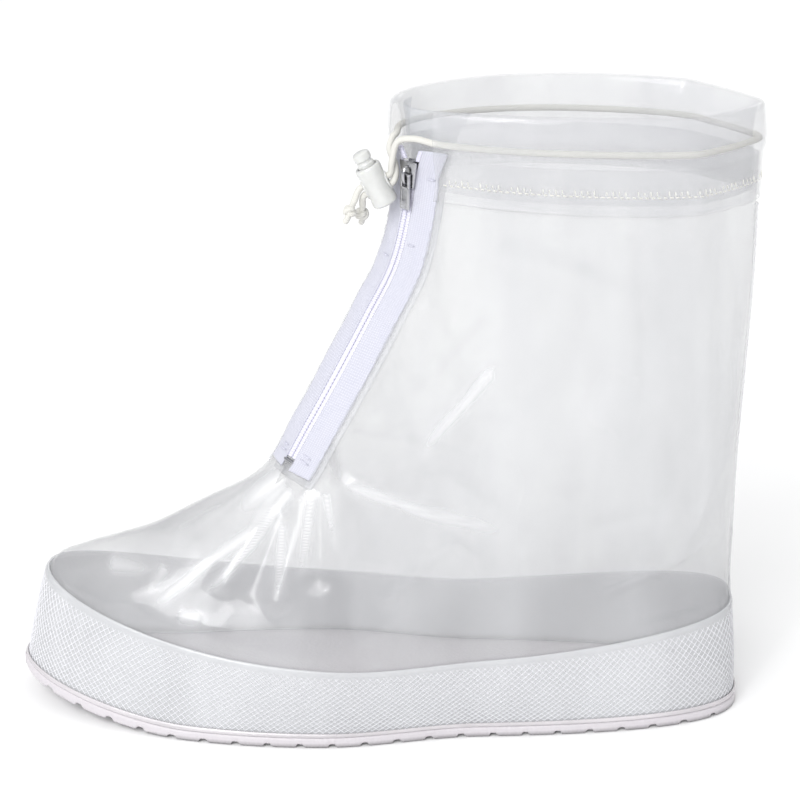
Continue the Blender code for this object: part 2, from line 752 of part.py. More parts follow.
def make_cord_lock(barrel_finish, button_finish):
    """The barrel with its blind bore and cross slot, and the button that slides down in it."""
    half = LOCK_BARREL_LENGTH / 2
    barrel = cylinder("cord_lock_barrel", LOCK_BARREL_RADIUS, -half, half, barrel_finish)
    bore = cylinder("lock_bore", BORE_RADIUS, -half + LOCK_FLOOR, half + LOCK_FLOOR, barrel_finish)
    cut_with(barrel, bore)
    cut_with(barrel, slot_box("lock_slot", SLOT_WIDTH, SLOT_LENGTH, 0.0, barrel_finish))
    low = -half + LOCK_FLOOR + LOCK_TRAVEL + LOCK_CLEARANCE
    high = half + LOCK_BUTTON_RISE
    button = cylinder("cord_lock_button", LOCK_BUTTON_RADIUS, low, high, button_finish)
    slot_height = SLOT_LENGTH + LOCK_TRAVEL
    slot = slot_box("button_slot", SLOT_WIDTH, slot_height, LOCK_TRAVEL / 2, button_finish)
    cut_with(button, slot)
    barrel.matrix_world = lock_axes()
    button.matrix_world = lock_axes()
    return barrel, button


def smooth_route(points, spacing):
    """Even steps along a smooth curve through the route's own points."""
    dense = []
    ends = [points[0] * 2 - points[1], *points, points[-1] * 2 - points[-2]]
    for before, start, end, after in zip(ends, ends[1:], ends[2:], ends[3:]):
        for step in range(12):
            share = step / 12
            rise_in = (end - before) / 2
            rise_out = (after - start) / 2
            dense.append(
                start
                + rise_in * share
                + (3 * (end - start) - 2 * rise_in - rise_out) * share**2
                + (2 * (start - end) + rise_in + rise_out) * share**3
            )
    dense.append(points[-1])
    total = sum((b - a).length for a, b in zip(dense, dense[1:]))
    count = round(total / spacing)
    step_length = total / count
    placed = [dense[0]]
    travelled = 0.0
    for start, end in zip(dense, dense[1:]):
        length = (end - start).length
        while len(placed) < count and travelled + length >= step_length * len(placed):
            share = (step_length * len(placed) - travelled) / length
            placed.append(start.lerp(end, share))
        travelled += length
    placed.append(dense[-1])
    return placed


def strand_line(level, tail):
    """Where a strand crosses the cord lock: in on the right, out on the left, and its end."""
    axes = lock_axes()
    outside = LOCK_BARREL_RADIUS + 0.0012
    height = level * STRAND_PITCH / 2
    out_point = axes @ Vector((-outside, 0.0, height))
    return [
        axes @ Vector((outside, 0.0, height)),
        axes @ Vector((0.0, 0.0, height)),
        out_point,
        out_point + tail,
    ]


def cord_mouth(side):
    """The cord's middle at one mouth of the casing, and the way out of it."""
    along = flap_edge(side)
    inside = on_skin(CORD_ROW, along + side * 0.006, -FILM / 2)
    mouth = on_skin(CORD_ROW, along, -FILM / 2)
    return mouth, (mouth - inside).normalized()


def cord_route():
    """The whole cord: knot, lock, left mouth, round the rim, right mouth, lock, knot."""
    left_mouth, _ = cord_mouth(-1)
    right_mouth, _ = cord_mouth(1)
    route = list(reversed(strand_line(1, UPPER_TAIL)))
    route += [left_mouth + offset for offset in reversed(LEFT_STRAND)]
    left_start, right_start = flap_edge(-1), flap_edge(1)
    left_end = side_length(CORD_ROW, -1)
    right_end = side_length(CORD_ROW, 1)
    steps = 14
    for step in range(steps):
        along = left_start - (left_end + left_start) * step / steps
        route.append(on_skin(CORD_ROW, along, -FILM / 2))
    for step in range(steps + 1):
        along = right_end - (right_end - right_start) * step / steps
        route.append(on_skin(CORD_ROW, along, -FILM / 2))
    route += [right_mouth + offset for offset in RIGHT_STRAND]
    route += strand_line(-1, LOWER_TAIL)
    return route


def make_drawcord(finish):
    """The cord as one round tube along its route."""
    points = smooth_route(cord_route(), 2.2 * CORD)
    curve = bpy.data.curves.new("drawcord", "CURVE")
    curve.dimensions = "3D"
    curve.bevel_depth = CORD / 2
    curve.bevel_resolution = 2
    curve.use_fill_caps = True
    spline = curve.splines.new("POLY")
    spline.points.add(len(points) - 1)
    for place, point in zip(spline.points, points):
        place.co = (*point, 1.0)
    curve.materials.append(finish)
    cord = bpy.data.objects.new("drawcord", curve)
    bpy.context.scene.collection.objects.link(cord)
    return cord


def make_knot(name, level, tail, finish):
    """The knot at one end of the cord, a little past the tube's end."""
    line = strand_line(level, tail)
    way = (line[3] - line[2]).normalized()
    centre = line[3] + way * (KNOT_RADIUS + GAP)
    shape = bmesh.new()
    place = Matrix.Translation(centre) @ Matrix.Diagonal((1.0, 1.0, 0.85, 1.0))
    bmesh.ops.create_icosphere(shape, subdivisions=2, radius=KNOT_RADIUS, matrix=place)
    return add_object(name, to_mesh(name, shape), finish)


def build():
    """Make every piece."""
    clear_scene()
    film = material("clear_film", (0.86, 0.87, 0.88), 0.22)
    mesh_film = material("mesh_film", (0.78, 0.80, 0.82), 0.40)
    sole = material("white_sole", (0.88, 0.88, 0.90), 0.45)
    tape = material("white_tape", (0.90, 0.89, 0.95), 0.80)
    metal = material("bright_metal", (0.62, 0.62, 0.64), 0.25, 1.0)
    cord = material("white_cord", (0.88, 0.88, 0.84), 0.75)
    lock = material("milky_plastic", (0.88, 0.88, 0.85), 0.35)
    make_panel("upper_panel_left", -1, film)
    make_panel("upper_panel_right", 1, film)
    make_back_seam(film)
    make_rand(mesh_film)
    make_outsole(sole)
    make_hem_casing(film)
    make_gusset(film)
    make_tape("zip_tape_left", -1, tape)
    make_tape("zip_tape_right", 1, tape)
    slider_rows = 0.30
    half_chain = CHAIN_WIDTH / 2 - GAP / 2
    below = SLIDER_ROW - 0.02
    make_bar("zip_chain", ZIP_END_ROW, below, lambda row: 0.0, CHAIN_WIDTH, CHAIN_THICK, 24, tape)
    top = CORD_ROW - 0.22
    for name, side in (("zip_teeth_left", -1), ("zip_teeth_right", 1)):
        make_bar(
            name,
            SLIDER_ROW + slider_rows,
            top,
            lambda row, side=side: side * (open_width(row) + half_chain / 2 + GAP / 2),
            half_chain,
            CHAIN_THICK,
            6,
            tape,
        )
    make_slider(metal)
    make_pull(metal)
    stop_end = ZIP_END_ROW - 0.015
    make_bar("zip_bottom_stop", stop_end - 0.06, stop_end, lambda row: 0.0, CHAIN_WIDTH, CHAIN_THICK, 2, metal)
    make_cord_lock(lock, lock)
    make_drawcord(cord)
    make_knot("cord_knot_left", 1, UPPER_TAIL, cord)
    make_knot("cord_knot_right", -1, LOWER_TAIL, cord)
    bpy.context.view_layer.update()


build()
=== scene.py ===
"""Looks for a see-through rain cover that is worn over a shoe: film upper, zip, drawcord hem and sole."""

import math
from functools import lru_cache

import bmesh
import bpy
import numpy as np
from mathutils import Matrix, Vector


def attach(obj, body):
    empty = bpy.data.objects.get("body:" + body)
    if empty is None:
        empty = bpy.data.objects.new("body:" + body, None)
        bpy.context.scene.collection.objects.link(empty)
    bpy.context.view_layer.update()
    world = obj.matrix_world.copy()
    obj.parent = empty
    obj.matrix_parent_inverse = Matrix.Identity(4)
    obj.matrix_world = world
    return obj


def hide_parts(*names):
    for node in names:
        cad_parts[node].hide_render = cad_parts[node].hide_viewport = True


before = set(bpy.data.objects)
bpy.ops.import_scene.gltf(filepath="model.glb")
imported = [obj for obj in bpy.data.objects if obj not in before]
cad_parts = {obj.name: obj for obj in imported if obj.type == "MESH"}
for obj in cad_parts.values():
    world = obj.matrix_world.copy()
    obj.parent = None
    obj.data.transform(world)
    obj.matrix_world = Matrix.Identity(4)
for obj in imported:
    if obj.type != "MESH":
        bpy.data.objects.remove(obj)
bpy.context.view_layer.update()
scene = bpy.context.scene

# Studio. White paper under a pale sky that darkens towards the horizon, soft daylight from the toe's
# side, and three soft boxes that draw the shine on the film.
FOCAL_PIXELS = 2753.0
PICTURE_SIDE = 800.0


def put(name, data, place=(0.0, 0.0, 0.0), turn=(0.0, 0.0, 0.0)):
    made = bpy.data.objects.new(name, data)
    made.location = place
    made.rotation_euler = turn
    scene.collection.objects.link(made)
    return made


camera_data = bpy.data.cameras.new("camera")
camera_data.sensor_width = 36.0
camera_data.lens = FOCAL_PIXELS * camera_data.sensor_width / PICTURE_SIDE
scene.camera = put("camera", camera_data, (0.0069, -1.0, 0.51), (math.radians(69.0), 0.0, 0.0))
scene.view_settings.view_transform = "Standard"
scene.cycles.transparent_max_bounces = 28
scene.cycles.max_bounces = 6
scene.cycles.diffuse_bounces = 2
scene.cycles.glossy_bounces = 2


def fill(finish, node, inputs):
    """Put values, or the outputs of other nodes, on a node's inputs."""
    for socket, value in inputs.items():
        if isinstance(value, bpy.types.NodeSocket):
            finish.node_tree.links.new(value, node.inputs[socket])
        elif node.inputs[socket].type == "RGBA":
            node.inputs[socket].default_value = (*value, 1.0)
        else:
            node.inputs[socket].default_value = value


def add_node(finish, kind, inputs, output=0, **settings):
    """Add a node to a finish, fill its inputs and give one of its outputs."""
    node = finish.node_tree.nodes.new("ShaderNode" + kind)
    for key, value in settings.items():
        setattr(node, key, value)
    fill(finish, node, inputs)
    return node.outputs[output]


def tone(finish, pattern, dark, bright, **settings):
    """A colour that a pattern takes from dark to bright."""
    return add_node(finish, "Mix", {0: pattern, 6: dark, 7: bright}, 2, data_type="RGBA", **settings)


world = bpy.data.worlds.new("studio")
scene.world = world
world.use_nodes = True
sky_height = add_node(world, "SeparateXYZ", {0: add_node(world, "TexCoord", {}, "Generated")}, "Z")
sky_ramp = add_node(world, "ValToRGB", {0: sky_height})
horizon, zenith = sky_ramp.node.color_ramp.elements
horizon.color = (0.34, 0.36, 0.4, 1.0)
zenith.position = 0.65
zenith.color = (1.0, 1.0, 1.0, 1.0)
seen = add_node(world, "LightPath", {}, "Is Camera Ray")
backdrop = tone(world, seen, sky_ramp, (0.92, 0.93, 0.95))
fill(world, world.node_tree.nodes["Background"], {"Color": backdrop, "Strength": 0.82})

for box_name, box_place, box_size, box_power in (
    ("key", (-0.8, -0.7, 1.1), (0.35, 0.55), 3.2),
    ("strip", (-0.45, -1.1, 0.75), (0.08, 0.8), 1.8),
    ("back", (0.9, 0.9, 0.9), (0.45, 0.45), 2.0),
):
    box_data = bpy.data.lights.new(box_name, "AREA")
    box_data.shape = "RECTANGLE"
    box_data.size, box_data.size_y = box_size
    box_data.energy = box_power
    aim = Vector((0.0, 0.0, 0.11)) - Vector(box_place)
    put(box_name, box_data, box_place, aim.to_track_quat("-Z", "Y").to_euler())
daylight_data = bpy.data.lights.new("daylight", "SUN")
daylight_data.energy = 1.45
daylight_data.angle = math.radians(40.0)
put("daylight", daylight_data, turn=(math.radians(50.0), math.radians(-28.0), 0.0))


def on_shader(finish, inputs):
    fill(finish, finish.node_tree.nodes["Principled BSDF"], inputs)


def new_finish(name, colour, roughness):
    finish = bpy.data.materials.new(name)
    finish.use_nodes = True
    on_shader(finish, {"Base Color": colour, "Roughness": roughness})
    return finish


def new_piece(name, shape, sharp=None, wall=0.0, inwards=False):
    """A smooth piece from a shape, crisp where its faces turn by more than sharp degrees, with its wall."""
    mesh = bpy.data.meshes.new(name)
    shape.to_mesh(mesh)
    shape.free()
    piece = put(name, mesh)
    mesh.shade_smooth()
    if sharp:
        mesh.set_sharp_from_angle(angle=math.radians(sharp))
    if wall:
        solid = piece.modifiers.new("wall", "SOLIDIFY")
        solid.thickness = wall
        solid.offset = -1.0 if inwards else 1.0
        solid.use_quality_normals = True
    return piece


paper = new_finish("studio_paper", (0.96, 0.96, 0.96), 0.9)
on_shader(paper, {"Specular IOR Level": 0.1})
sweep = bmesh.new()
bmesh.ops.create_grid(sweep, x_segments=2, y_segments=2, size=6.0)
studio_floor = new_piece("studio_floor", sweep)
studio_floor.data.materials.append(paper)

# Upper. One thin sheet of soft clear vinyl from the toe round to the heel, slit up the front for the zip
# and welded to the sole. It is cut flat, so it takes long soft folds that run away from the zip's foot.
SOLE_LENGTH = 0.29
HEIGHT = 0.247
BALL_HALF_WIDTH = 0.049
HEEL_HALF_WIDTH = 0.04
SHAFT_HALF_WIDTH = 0.0335
TOE_IN = 0.0065
TOE_SPRING = 0.011
SPRING_LENGTH = 0.068
SOLE_TOP = 0.0046
RAND_ROW = 2.0
CREASE_SHARE = 0.82
CREASE_POWER = 0.75
CURL = 1.5
# Each ring of the upper, from the sole to the rim: its front and back in ten-thousandths of the length and
# the height, how far it widens to the foot, and its outline. ring() names the columns.
RING_UNITS = (10000, 10000, 10000, 10000, 100, 1000, 100, 100, 10, 1000, 1, 100)
RINGS = np.array((
    (-4912, 0, 4828, 0, 100, 970, 42, 200, 30, 0, 1, 0),
    (-4802, 1260, 4813, 900, 100, 975, 42, 200, 30, 36, 0, 0),
    (-4582, 2180, 4758, 1780, 96, 960, 42, 205, 28, 68, 0, 0),
    (-4222, 2420, 4738, 2100, 80, 960, 42, 230, 26, 54, 0, 0),
    (-3362, 2720, 4738, 2430, 60, 950, 43, 250, 25, 40, 0, 0),
    (-2502, 3280, 4743, 2770, 40, 960, 44, 240, 24, 30, 0, 0),
    (-1652, 3900, 4748, 3150, 20, 1000, 45, 220, 23, 16, 0, 0),
    (-1092, 5040, 4763, 4250, 8, 1010, 47, 210, 22, 4, 0, 0),
    (-372, 6710, 4838, 6170, 0, 1020, 49, 200, 22, 0, 0, 10),
    (8, 7660, 4878, 7360, 0, 1010, 50, 200, 22, 0, 0, 45),
    (198, 8830, 4893, 8650, 0, 1000, 50, 200, 23, -3, 0, 85),
    (163, 9500, 4903, 9400, 0, 1000, 50, 200, 24, -6, 0, 100),
    (138, 9960, 4908, 9940, 0, 1000, 50, 200, 25, -8, 0, 100),
)) / RING_UNITS
RIM_ROW = len(RINGS) - 1


def smooth_step(low, high, value):
    share = np.clip((np.asarray(value, float) - low) / (high - low), 0.0, 1.0)
    return share * share * (3.0 - 2.0 * share)


def between(before, start, end, after, share):
    """A smooth curve from start to end that is led by the points before and after."""
    rise_in, rise_out = (end - before) / 2, (after - start) / 2
    bend = (3 * (end - start) - 2 * rise_in - rise_out) * share**2
    return start + rise_in * share + bend + (2 * (start - end) + rise_in + rise_out) * share**3


def sole_spring(x):
    start = -SOLE_LENGTH / 2 + SPRING_LENGTH
    return TOE_SPRING * np.maximum((start - x) / SPRING_LENGTH, 0.0) ** 1.5


@lru_cache(maxsize=None)
def ring(row):
    """A whole ring: signed lengths round it from its front, negative on the left, and its points."""
    below = min(max(int(math.floor(row)), 0), RIM_ROW - 1)
    rings = [RINGS[min(max(below + step, 0), RIM_ROW)] for step in (-1, 0, 1, 2)]
    (
        front_x, front_z, back_x, back_z, foot, full, widest, front_power, back_power, sag, on_sole, crease,
    ) = between(*rings, row - below)
    share = (1.0 - np.cos(np.linspace(0.0, math.pi, 301))) / 2.0
    front_width = SHAFT_HALF_WIDTH + (BALL_HALF_WIDTH - SHAFT_HALF_WIDTH) * foot
    heel_width = SHAFT_HALF_WIDTH + (HEEL_HALF_WIDTH - SHAFT_HALF_WIDTH) * foot
    front = np.clip((widest - share) / widest, 0.0, 1.0)
    back = np.clip((share - widest) / (1.0 - widest), 0.0, 1.0)
    side_width = front_width + (heel_width - front_width) * smooth_step(widest, 0.64, share)
    behind = side_width * (1.0 - back**back_power) ** (1.0 / back_power)
    corner = (CREASE_SHARE - widest) / (1.0 - widest)
    edge = side_width * (1.0 - corner**back_power) ** (1.0 / back_power)
    straight = edge * np.clip((1.0 - share) / (1.0 - CREASE_SHARE), 0.0, 1.0) ** CREASE_POWER
    behind = behind + np.where(share > CREASE_SHARE, (straight - behind) * crease, 0.0)
    ahead = front_width * (1.0 - front**front_power) ** (1.0 / front_power)
    width = np.where(share < widest, ahead, behind) * full
    lean = TOE_IN * foot ** 2 * np.maximum(1.0 - share / widest, 0.0) ** 2
    x = SOLE_LENGTH * (front_x + (back_x - front_x) * share)
    rise = (front_z - back_z) * (1.0 - share) ** CURL
    dip = sag * np.sin(math.pi * share**0.85)
    z = HEIGHT * (back_z + rise - dip) + on_sole * (SOLE_TOP + sole_spring(x))
    sides = []
    for side in (-1.0, 1.0):
        points = np.stack([x, side * width + lean, z], axis=1)
        steps = np.linalg.norm(np.diff(points, axis=0), axis=1)
        sides.append((points, np.concatenate([[0.0], np.cumsum(steps)])))
    (left, left_along), (right, right_along) = sides
    along = np.concatenate([-left_along[::-1], right_along[1:]])
    points = np.concatenate([left[::-1], right[1:]])
    whole = along[-1] - along[0]
    along = np.concatenate([along[-30:-1] - whole, along, along[1:30] + whole])
    points = np.concatenate([points[-30:-1], points, points[1:30]])
    return along, points, left_along[-1], right_along[-1]


def side_length(row, side):
    return ring(round(float(row), 4))[2 if side < 0 else 3]


def skin(row, along):
    """Points of the upper's outer face."""
    lengths, points, _, _ = ring(round(float(row), 4))
    return np.stack([np.interp(along, lengths, points[:, axis]) for axis in range(3)], axis=-1)


def skin_frame(row, along):
    """Points, and the ways out of the film, round it and up it."""
    along = np.asarray(along, float)
    low, high = max(row - 0.04, 0.0), min(row + 0.04, RIM_ROW)
    share = np.where(along < 0, along / side_length(row, -1), along / side_length(row, 1))
    ends = []
    for level in (low, high):
        there = np.where(share < 0, share * side_length(level, -1), share * side_length(level, 1))
        ends.append(skin(level, there))
    round_way = skin(row, along + 0.0012) - skin(row, along - 0.0012)
    out = np.cross(ends[1] - ends[0], round_way)
    out /= np.linalg.norm(out, axis=-1, keepdims=True)
    round_way /= np.linalg.norm(round_way, axis=-1, keepdims=True)
    return skin(row, along), out, round_way, np.cross(round_way, out)


def on_skin(row, along, out):
    point, way_out, _, _ = skin_frame(row, along)
    return point + way_out * np.asarray(out, float)[..., None]


def row_at_drop(drop):
    low, high = 5.0, float(RIM_ROW)
    top = skin(RIM_ROW, 0.0)[2]
    for _ in range(24):
        middle = (low + high) / 2.0
        if top - skin(middle, 0.0)[2] > drop:
            low = middle
        else:
            high = middle
    return (low + high) / 2.0


CORD_DROP = 0.0115
FILM_TOP_DROP = 0.0165
HEM_DEPTH = 0.032
SLIDER_DROP = 0.024
CORD_ROW, FILM_TOP_ROW = row_at_drop(CORD_DROP), row_at_drop(FILM_TOP_DROP)
HEM_ROW, SLIDER_ROW = row_at_drop(HEM_DEPTH), row_at_drop(SLIDER_DROP)
ZIP_END_ROW = 6.5
ZIP_SLOT = 0.0084
ZIP_TURN = 0.0155
OPEN_HALF = 0.006
FILM = 0.00025


def zip_centre(row):
    return -ZIP_TURN * float(smooth_step(RAND_ROW, ZIP_END_ROW - 0.5, row))


def open_width(row):
    return OPEN_HALF * max((row - SLIDER_ROW) / (CORD_ROW - SLIDER_ROW), 0.0)


def slot_half(row):
    return ZIP_SLOT / 2 * float(smooth_step(ZIP_END_ROW - 0.4, ZIP_END_ROW, row)) + open_width(row)


# Each fold as seen from the side: both its ends in thousandths of the length and the height, its half
# width and lift in ten-thousandths of the length, and in tenths how much of it the left and the right
# side take and how sharp its crest is (20 is a soft swell, 10 a crisp crease).
FOLD_UNITS = (1000, 1000, 1000, 1000, 10000, 10000, 10, 10, 10)
FOLDS = np.array((
    (-155, 350, -210, 255, 120, 75, 10, 8, 20),
    (-133, 350, -173, 245, 110, -60, 10, 10, 20),
    (-109, 375, -139, 235, 120, 80, 10, 7, 20),
    (-83, 400, -87, 270, 120, -60, 9, 10, 20),
    (-55, 410, -35, 300, 130, 70, 8, 10, 20),
    (-255, 285, -335, 225, 150, 50, 10, 6, 20),
    (-5, 560, 55, 380, 200, 60, 10, 8, 20),
    (75, 720, 155, 560, 260, -70, 10, 9, 20),
    (105, 470, 255, 330, 240, -70, 9, 10, 20),
    (175, 790, 325, 700, 240, 60, 10, 10, 20),
    (295, 520, 395, 330, 240, 60, 10, 9, 20),
    (75, 330, 195, 230, 180, 50, 10, 10, 20),
    (-128, 408, -191, 346, 52, 50, 10, 3, 11),
    (-123, 402, -204, 296, 62, -26, 10, 5, 13),
    (-118, 398, -185, 294, 52, 52, 10, 2, 11),
    (-160, 344, -315, 206, 49, 42, 10, 4, 10),
    (-150, 345, -245, 225, 47, 46, 10, 2, 10),
    (-132, 350, -139, 236, 47, 36, 10, 6, 11),
    (-92, 405, -108, 262, 55, 48, 10, 3, 11),
    (-76, 402, -60, 300, 52, 36, 8, 10, 12),
    (-59, 418, 160, 348, 55, 30, 10, 2, 11),
    (149, 616, 46, 467, 59, 30, 10, 3, 11),
    (-289, 269, -318, 222, 65, -20, 10, 4, 12),
    (-375, 252, -290, 262, 59, 18, 10, 5, 13),
    (-274, 205, -238, 202, 70, 20, 10, 2, 14),
    (20, 800, 62, 700, 70, 34, 10, 4, 15),
    (12, 640, 45, 560, 65, 36, 10, 3, 15),
    (240, 720, 262, 610, 90, 30, 10, 4, 15),
    (420, 780, 436, 420, 90, 34, 10, 9, 16),
    (330, 830, 345, 560, 100, -26, 10, 8, 16),
    (120, 800, 100, 480, 110, 26, 6, 10, 16),
    (400, 290, 455, 430, 80, 34, 10, 8, 15),
    (300, 235, 440, 300, 65, 30, 10, 9, 15),
    (10, 240, 90, 330, 70, 34, 6, 10, 15),
    (-30, 440, 30, 520, 65, 34, 3, 10, 15),
    (-110, 385, -190, 300, 59, 40, 2, 10, 11),
    (-85, 365, -120, 262, 59, 38, 2, 10, 11),
)) / FOLD_UNITS
CRISP = 1.45
# A crisp fold of this lift takes the full painted highlight on its crest, partly also the milkier look of doubled
# film.
CREST_SHEEN_LIFT = 0.0045


def fold_parts(points, side):
    """How far the folds lift the film, and how much painted highlight their crisp crests get, partly also the milkier
    look of doubled film.
    """
    height, white = np.zeros(len(points)), np.zeros(len(points))
    flat = points[:, [0, 2]]
    for x0, z0, x1, z1, half_width, lift, left, right, sharp in FOLDS:
        start = np.array([x0 * SOLE_LENGTH, z0 * HEIGHT])
        run = np.array([x1 * SOLE_LENGTH, z1 * HEIGHT]) - start
        share = np.clip((flat - start) @ run / (run @ run), 0.0, 1.0)
        near = start + share[:, None] * run
        far = np.linalg.norm(flat - near, axis=1) / (half_width * SOLE_LENGTH)
        far = np.sqrt(far**2 + 0.12) - 0.346
        here = np.where(side < 0, left, right) * np.exp(-(far**sharp))
        # Crisp crests get a painted highlight, partly also the milkier look of film doubled at the crease.
        if sharp < CRISP:
            here = here * smooth_step(0.0, 0.12, share) * (1.0 - share**2.5)
            white = np.maximum(white, here * abs(lift) / CREST_SHEEN_LIFT)
        height += here * lift * SOLE_LENGTH
    return height, white


def fold_mask(row, along):
    side = np.where(along < 0, -1.0, 1.0)
    from_zip = np.abs(along - zip_centre(row)) - slot_half(row)
    from_back = np.where(side < 0, side_length(row, -1), side_length(row, 1)) - np.abs(along)
    clear_of_zip = 0.012 if row > ZIP_END_ROW - 0.3 else 0.001
    return (
        smooth_step(RAND_ROW + 0.15, RAND_ROW + 0.9, row)
        * smooth_step(clear_of_zip, clear_of_zip + 0.007, from_zip)
        * smooth_step(0.0025, 0.0125, from_back)
        * (1.0 - smooth_step(HEM_ROW - 0.7, HEM_ROW - 0.15, row))
    )


def mapped_sheet(name, across, up, place, merge=False, work=None, **making):
    """A sheet of quads. place(line, shares) gives one line of it, and work(shape) finishes the whole; its UV
    map holds metres across and up."""
    sheet = bmesh.new()
    bmesh.ops.create_grid(sheet, x_segments=across, y_segments=up, size=0.5)
    shares = np.linspace(0.0, 1.0, across + 1)
    lines = [place(line, shares) for line in range(up + 1)]
    wide = np.linalg.norm(np.diff(lines[up // 2], axis=0), axis=1).sum()
    tall = sum(np.linalg.norm(b[across // 2] - a[across // 2]) for a, b in zip(lines, lines[1:]))
    layer = sheet.loops.layers.uv.new("cloth")
    for face in sheet.faces:
        for loop in face.loops:
            loop[layer].uv = ((0.5 - loop.vert.co.x) * wide, (loop.vert.co.y + 0.5) * tall)
    for corner in sheet.verts:
        corner.co = lines[round((corner.co.y + 0.5) * up)][round((0.5 - corner.co.x) * across)]
    if merge:
        bmesh.ops.remove_doubles(sheet, verts=sheet.verts, dist=0.00002)
    if work:
        work(sheet)
    return new_piece(name, sheet, **making)


def dress(piece, finish, slot, *nodes, body="cover"):
    """Give a piece its finish and body, and hide the solids it stands for."""
    piece.data.materials.append(finish)
    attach(piece, body)
    if nodes:
        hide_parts(*nodes)


def own_places(finish):
    return add_node(finish, "TexCoord", {}, "Object")


def relief(finish, height, strength, distance):
    return add_node(finish, "Bump", {"Height": height, "Strength": strength, "Distance": distance})


def film_finish(name, tint, clear, milky, ripple_depth=0.0022, folds=0.0):
    """Soft vinyl: clear and milky by turns, shiny, with long ripples; it greys where it is seen edge on. Its crisp
    fold crests are painted near white, a painted highlight that is partly also the milkier look of doubled film.
    """
    film = new_finish(name, tint, 0.2)
    stretch = {"Vector": own_places(film), "Scale": (1.0, 1.0, 0.35), "Rotation": (0.0, 0.35, 0.0)}
    lay = add_node(film, "Mapping", stretch)
    cloud = add_node(film, "TexNoise", {"Vector": lay, "Scale": 26.0, "Detail": 2.5})
    haze = {"Value": cloud, "From Min": 0.36, "From Max": 0.66, "To Min": clear, "To Max": milky}
    milk = add_node(film, "MapRange", haze)
    facing = add_node(film, "LayerWeight", {"Blend": 0.25}, "Facing")
    edge = add_node(film, "Math", {0: facing, 1: 3.0}, operation="POWER")
    edge_cover = add_node(film, "Math", {0: edge, 1: 0.4}, operation="MULTIPLY")
    cover = add_node(film, "Math", {0: milk, 1: edge_cover}, operation="ADD", use_clamp=True)
    crest = add_node(film, "Attribute", {}, "Fac", attribute_name="fold")
    dark, bright = (tuple(min(channel * share, 1.0) for channel in tint) for share in (0.9, 1.06))
    shade = tone(film, cloud, dark, bright)
    ripple = add_node(film, "TexNoise", {"Vector": lay, "Scale": 60.0, "Detail": 2.0})
    on_shader(film, {
        "Alpha": add_node(film, "Math", {0: crest, 1: folds, 2: cover}, operation="MULTIPLY_ADD"),
        # The fold attribute paints crisp crests near white: a painted highlight, partly also doubled-film milkiness.
        "Base Color": tone(film, crest, shade, (0.93, 0.93, 0.94), clamp_factor=True),
        "Normal": relief(film, ripple, 0.5, ripple_depth),
        "IOR": 1.53, "Specular IOR Level": 0.7, "Coat Weight": 0.7, "Coat Roughness": 0.06,
    })
    return film


upper_rows = np.concatenate([
    np.linspace(0.0, 2.0, 5)[:-1],
    np.linspace(2.0, 6.8, 85)[:-1],
    np.linspace(6.8, 10.0, 43)[:-1],
    np.linspace(10.0, FILM_TOP_ROW, 8),
])


def both_ways(row, shares, right_start, left_start, bunched=0.35):
    """Lengths for a line that runs to the heel on the right side and comes back on the left one."""
    going = shares < 0.5
    share = np.where(going, 2.0 * shares, 2.0 - 2.0 * shares)
    share = share - bunched * np.sin(math.tau * share) / math.tau
    return np.where(
        going,
        right_start + (side_length(row, 1) - right_start) * share,
        left_start + (-side_length(row, -1) - left_start) * share,
    )


def upper_line(line, shares):
    row = float(upper_rows[line])
    half, centre = slot_half(row), zip_centre(row)
    along = both_ways(row, shares, centre + half, centre - half)
    point, out, _, _ = skin_frame(row, along)
    side = np.where(shares < 0.5, 1.0, -1.0)
    return point + out * (fold_parts(point, side)[0] * fold_mask(row, along))[:, None]


def crest_sheen_and_milk(corners):
    """How much painted highlight, partly also the milkier look of doubled film, the crisp folds give each corner of a
    mesh.
    """
    places = np.array([list(corner.co) for corner in corners])
    return fold_parts(places, np.sign(places[:, 1]))[1]


def relax_folds(shape):
    """Ease the crisp folds, most at their crests, so that they bend instead of breaking."""
    sheen_and_milk = crest_sheen_and_milk(shape.verts)
    for crest in (0.01, 0.03, 0.08, 0.15, 0.25, 0.35):
        corners = [corner for corner, white in zip(shape.verts, sheen_and_milk) if white > crest]
        bmesh.ops.smooth_vert(shape, verts=corners, factor=0.5, use_axis_x=True, use_axis_y=True, use_axis_z=True)


clear_film = film_finish("clear_film", (0.665, 0.67, 0.685), 0.15, 0.33, folds=0.4)
film_upper = mapped_sheet(
    "film_upper", 350, len(upper_rows) - 1, upper_line, merge=True, work=relax_folds, wall=FILM, inwards=True
)
# The crests' painted highlight, partly also doubled-film milkiness, goes on the film as its fold attribute.
film_crest_sheen_and_milk = film_upper.data.attributes.new("fold", "FLOAT", "POINT").data
film_crest_sheen_and_milk.foreach_set("value", np.clip(crest_sheen_and_milk(film_upper.data.vertices), 0.0, 1.0))
dress(film_upper, clear_film, "clear_film", "upper_panel_left", "upper_panel_right")

# Back seam. The film's two edges meet up the heel and are welded flat under a narrow strip of the same
# film, pressed with a fine ladder of bars.
weld_film = film_finish("weld_film", (0.76, 0.77, 0.8), 0.26, 0.42, 0.0008)


def back_seam_line(line, shares):
    row = RAND_ROW + 0.1 + (HEM_ROW - 0.2 - RAND_ROW) * line / 300
    across = (shares - 0.5) * 0.005
    along = np.where(across < 0, side_length(row, 1) + across, -side_length(row, -1) + across)
    bar = 0.00012 * (math.sin(line * math.pi / 2.0) > 0.5)
    return skin(row, along) + np.array([0.0004 + bar, 0.0, 0.0])


dress(mapped_sheet("back_strip", 6, 300, back_seam_line, wall=0.0005), weld_film, "clear_film", "back_seam")

